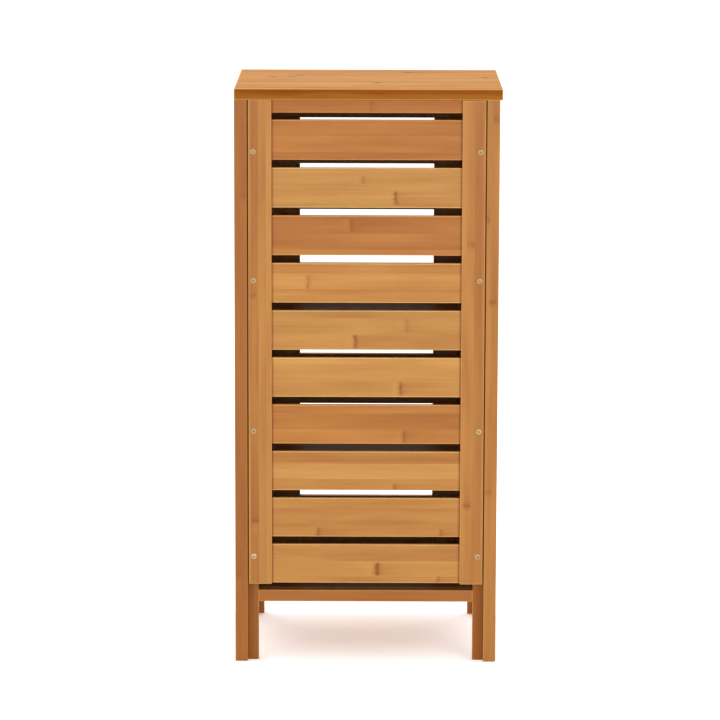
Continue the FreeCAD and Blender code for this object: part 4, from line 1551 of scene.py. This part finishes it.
def moulded(name: str, colour: Colour) -> bpy.types.Material:
    """Make a moulded plastic with fine spark-eroded grain.

    Args:
        name: Name of the material.
        colour: Its colour.

    Returns:
        The material.
    """
    made = bpy.data.materials.new(name)
    made.use_nodes = True
    graph = Graph(made.node_tree)
    shader = made.node_tree.nodes["Principled BSDF"]
    seat = graph.add("TexCoord")
    grain = graph.noise(seat.outputs["Object"], scale=2600, detail=2)
    cloud = graph.noise(seat.outputs["Object"], scale=90, detail=3)
    tint = graph.mix(graph.smooth(cloud, 0.3, 0.8), colour, tuple(c * 1.5 for c in colour))
    bump = graph.add("Bump")
    bump.inputs["Strength"].default_value = 0.3
    bump.inputs["Distance"].default_value = 0.05 * MM
    graph.feed(bump.inputs["Height"], grain)
    graph.feed(shader.inputs["Base Color"], tint)
    graph.feed(shader.inputs["Roughness"], graph.smooth(cloud, 0.2, 0.8, 0.38, 0.52))
    graph.feed(shader.inputs["Normal"], bump.outputs[0])
    return made


@dataclass
class Fittings:
    """Screws, hinges, knob and catch.

    Args:
        kept: CAD fittings whose shape stays, with their metal.
    """

    kept: tuple[tuple[str, Metal], ...] = (("hinge_frame_leaves", BRASSED), ("hinge_door_leaves", BRASSED),
                                           ("hinge_pins", BRASSED), ("catch_strike", STEEL))

    def make(self) -> None:
        """Make the new pieces and dress the kept ones."""
        ScrewSet("screws_of_back", "cabinet", "screw_metal", ("back_panel_screws",)).make()
        ScrewSet("screws_of_frame", "cabinet", "screw_metal", ("frame_screws",)).make()
        flush = {"metal": BRASSED, "dome": 0.03, "lift": 0.02}
        ScrewSet("screws_of_hinges", "cabinet", "hinge_screw_metal", ("hinge_frame_screws",), **flush).make()
        ScrewSet("screws_of_door", "door", "hinge_screw_metal", ("door_hardware_screws",), **flush).make()
        ScrewSet("screw_of_knob", "door", "screw_metal", ("knob_screw",), ZINC, Head.PAN).make()
        TurnedKnob("turned_knob", "door", "bamboo_knob", ("door_knob",)).make()
        MagneticCatch("magnetic_catch", "cabinet", "catch_plastic", ("catch_body",)).make()
        PolePlates("pole_plates", "cabinet", "strike_steel", ("catch_body",)).make()
        for node, metal in self.kept:
            made = metal.material(node)
            for slot in frame["nodes"][node].material_slots:
                slot.material = made
            LOG.info("dressed %s", node)


# ------------------------------------------------------------------ studio


@dataclass(frozen=True)
class Lamp:
    """A square softbox.

    Args:
        name: Its name.
        place: Where it hangs.
        size: Side of its square.
        power: Its power in watts.
        colour: Its colour.
    """

    name: str
    place: tuple[float, float, float]
    size: float
    power: float
    colour: Colour = WHITE

    def hang(self, target: Vector) -> None:
        """Hang the lamp and aim it at a point.

        Args:
            target: The point.
        """
        light = bpy.data.lights.new(self.name, "AREA")
        light.size = self.size
        light.energy = self.power
        light.color = self.colour
        lamp = bpy.data.objects.new(self.name, light)
        lamp.location = self.place
        lamp.rotation_euler = (target - Vector(self.place)).to_track_quat("-Z", "Y").to_euler()
        bpy.context.scene.collection.objects.link(lamp)


@dataclass
class Studio:
    """A pale floor, soft lamps and a long-lens camera.

    Args:
        seat: Where the camera stands.
        pitch: How far it looks down, in degrees.
        pan: How far it looks to its left, in degrees.
        roll: How far it leans, in degrees.
        lens: Focal length in millimetres.
        film: Width of the sensor in millimetres.
        sight: The nearest and the farthest distance that the camera sees.
        sky: Strength of the even light from all round.
        reach: Radius of the floor.
        drop: How far the floor lies under the feet.
        paint: The floor's two pale greys.
        glow: How strongly the floor shines by itself.
        lamps: The softboxes.
    """

    seat: tuple[float, float, float] = (0.004, -5.5108, 1.390)
    pitch: float = 9.81
    pan: float = 0.166
    roll: float = 0.157
    lens: float = 180.35
    film: float = 36.0
    sight: tuple[float, float] = (0.1, 200.0)
    sky: float = 1.12
    reach: float = 40.0
    drop: float = 0.2 * MM
    paint: tuple[Colour, Colour] = ((0.89, 0.89, 0.89), (0.92, 0.92, 0.92))
    glow: float = 0.25
    lamps: tuple[Lamp, ...] = (
        Lamp("key", (1.9, -2.9, 2.3), 1.8, 27, (1.0, 0.985, 0.96)),
        Lamp("fill", (-2.6, -2.3, 1.3), 2.2, 9, (0.97, 0.985, 1.0)),
        Lamp("front", (0.1, -5.6, 1.1), 0.6, 32),
        Lamp("overhead", (0.2, 0.1, 3.0), 2.2, 20),
        Lamp("rear_left", (-1.9, 2.7, 2.0), 2.0, 28, (1.0, 0.985, 0.965)),
        Lamp("rear_right", (2.4, 2.4, 1.3), 2.0, 16, (1.0, 0.985, 0.965)),
    )

    def build(self) -> None:
        """Lay the floor, light it and set the camera."""
        low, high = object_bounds()
        centre = (low + high) / 2
        self.floor(low.z)
        self.world()
        for lamp in self.lamps:
            lamp.hang(centre)
        self.camera()
        bpy.context.scene.view_settings.view_transform = "Standard"

    def floor(self, level: float) -> None:
        """Lay a wide disc just under the feet.

        Args:
            level: Height of the feet.
        """
        bm = bmesh.new()
        bmesh.ops.create_circle(bm, cap_ends=True, radius=self.reach, segments=96)
        bmesh.ops.translate(bm, vec=(0, 0, level - self.drop), verts=bm.verts)
        mesh = bpy.data.meshes.new("studio_floor")
        bm.to_mesh(mesh)
        bm.free()
        paint = bpy.data.materials.new("studio_floor")
        paint.use_nodes = True
        graph = Graph(paint.node_tree)
        shader = paint.node_tree.nodes["Principled BSDF"]
        seat = graph.add("TexCoord")
        cloud = graph.noise(seat.outputs["Object"], scale=0.8, detail=2)
        graph.feed(shader.inputs["Base Color"], graph.mix(cloud, *self.paint))
        shader.inputs["Roughness"].default_value = 0.75
        shader.inputs["Specular IOR Level"].default_value = 0.2
        shader.inputs["Emission Color"].default_value = (*WHITE, 1.0)
        shader.inputs["Emission Strength"].default_value = self.glow
        mesh.materials.append(paint)
        floor = bpy.data.objects.new("studio_floor", mesh)
        bpy.context.scene.collection.objects.link(floor)
        floor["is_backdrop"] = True

    def world(self) -> None:
        """Give an even white light from all round."""
        world = bpy.data.worlds.new("studio")
        world.use_nodes = True
        shade = world.node_tree.nodes["Background"]
        shade.inputs["Color"].default_value = (*WHITE, 1.0)
        shade.inputs["Strength"].default_value = self.sky
        bpy.context.scene.world = world

    def camera(self) -> None:
        """Set the camera."""
        data = bpy.data.cameras.new("camera")
        data.lens = self.lens
        data.sensor_width = self.film
        data.clip_start, data.clip_end = self.sight
        camera = bpy.data.objects.new("camera", data)
        turn = (Matrix.Rotation(math.radians(self.pan), 4, "Z")
                @ Matrix.Rotation(math.radians(90 - self.pitch), 4, "X")
                @ Matrix.Rotation(math.radians(self.roll), 4, "Z"))
        camera.matrix_world = Matrix.Translation(self.seat) @ turn
        bpy.context.scene.collection.objects.link(camera)
        bpy.context.scene.camera = camera


def main() -> None:
    """Dress the cabinet, make its fittings and set it in the studio."""
    logging.basicConfig(level=logging.INFO, format="%(name)s: %(message)s")
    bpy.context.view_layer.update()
    for assembly in (Legs(), ClosedBack(), Carcase(), Door()):
        assembly.dress()
    Fittings().make()
    Studio().build()


if __name__ == "__main__":
    main()
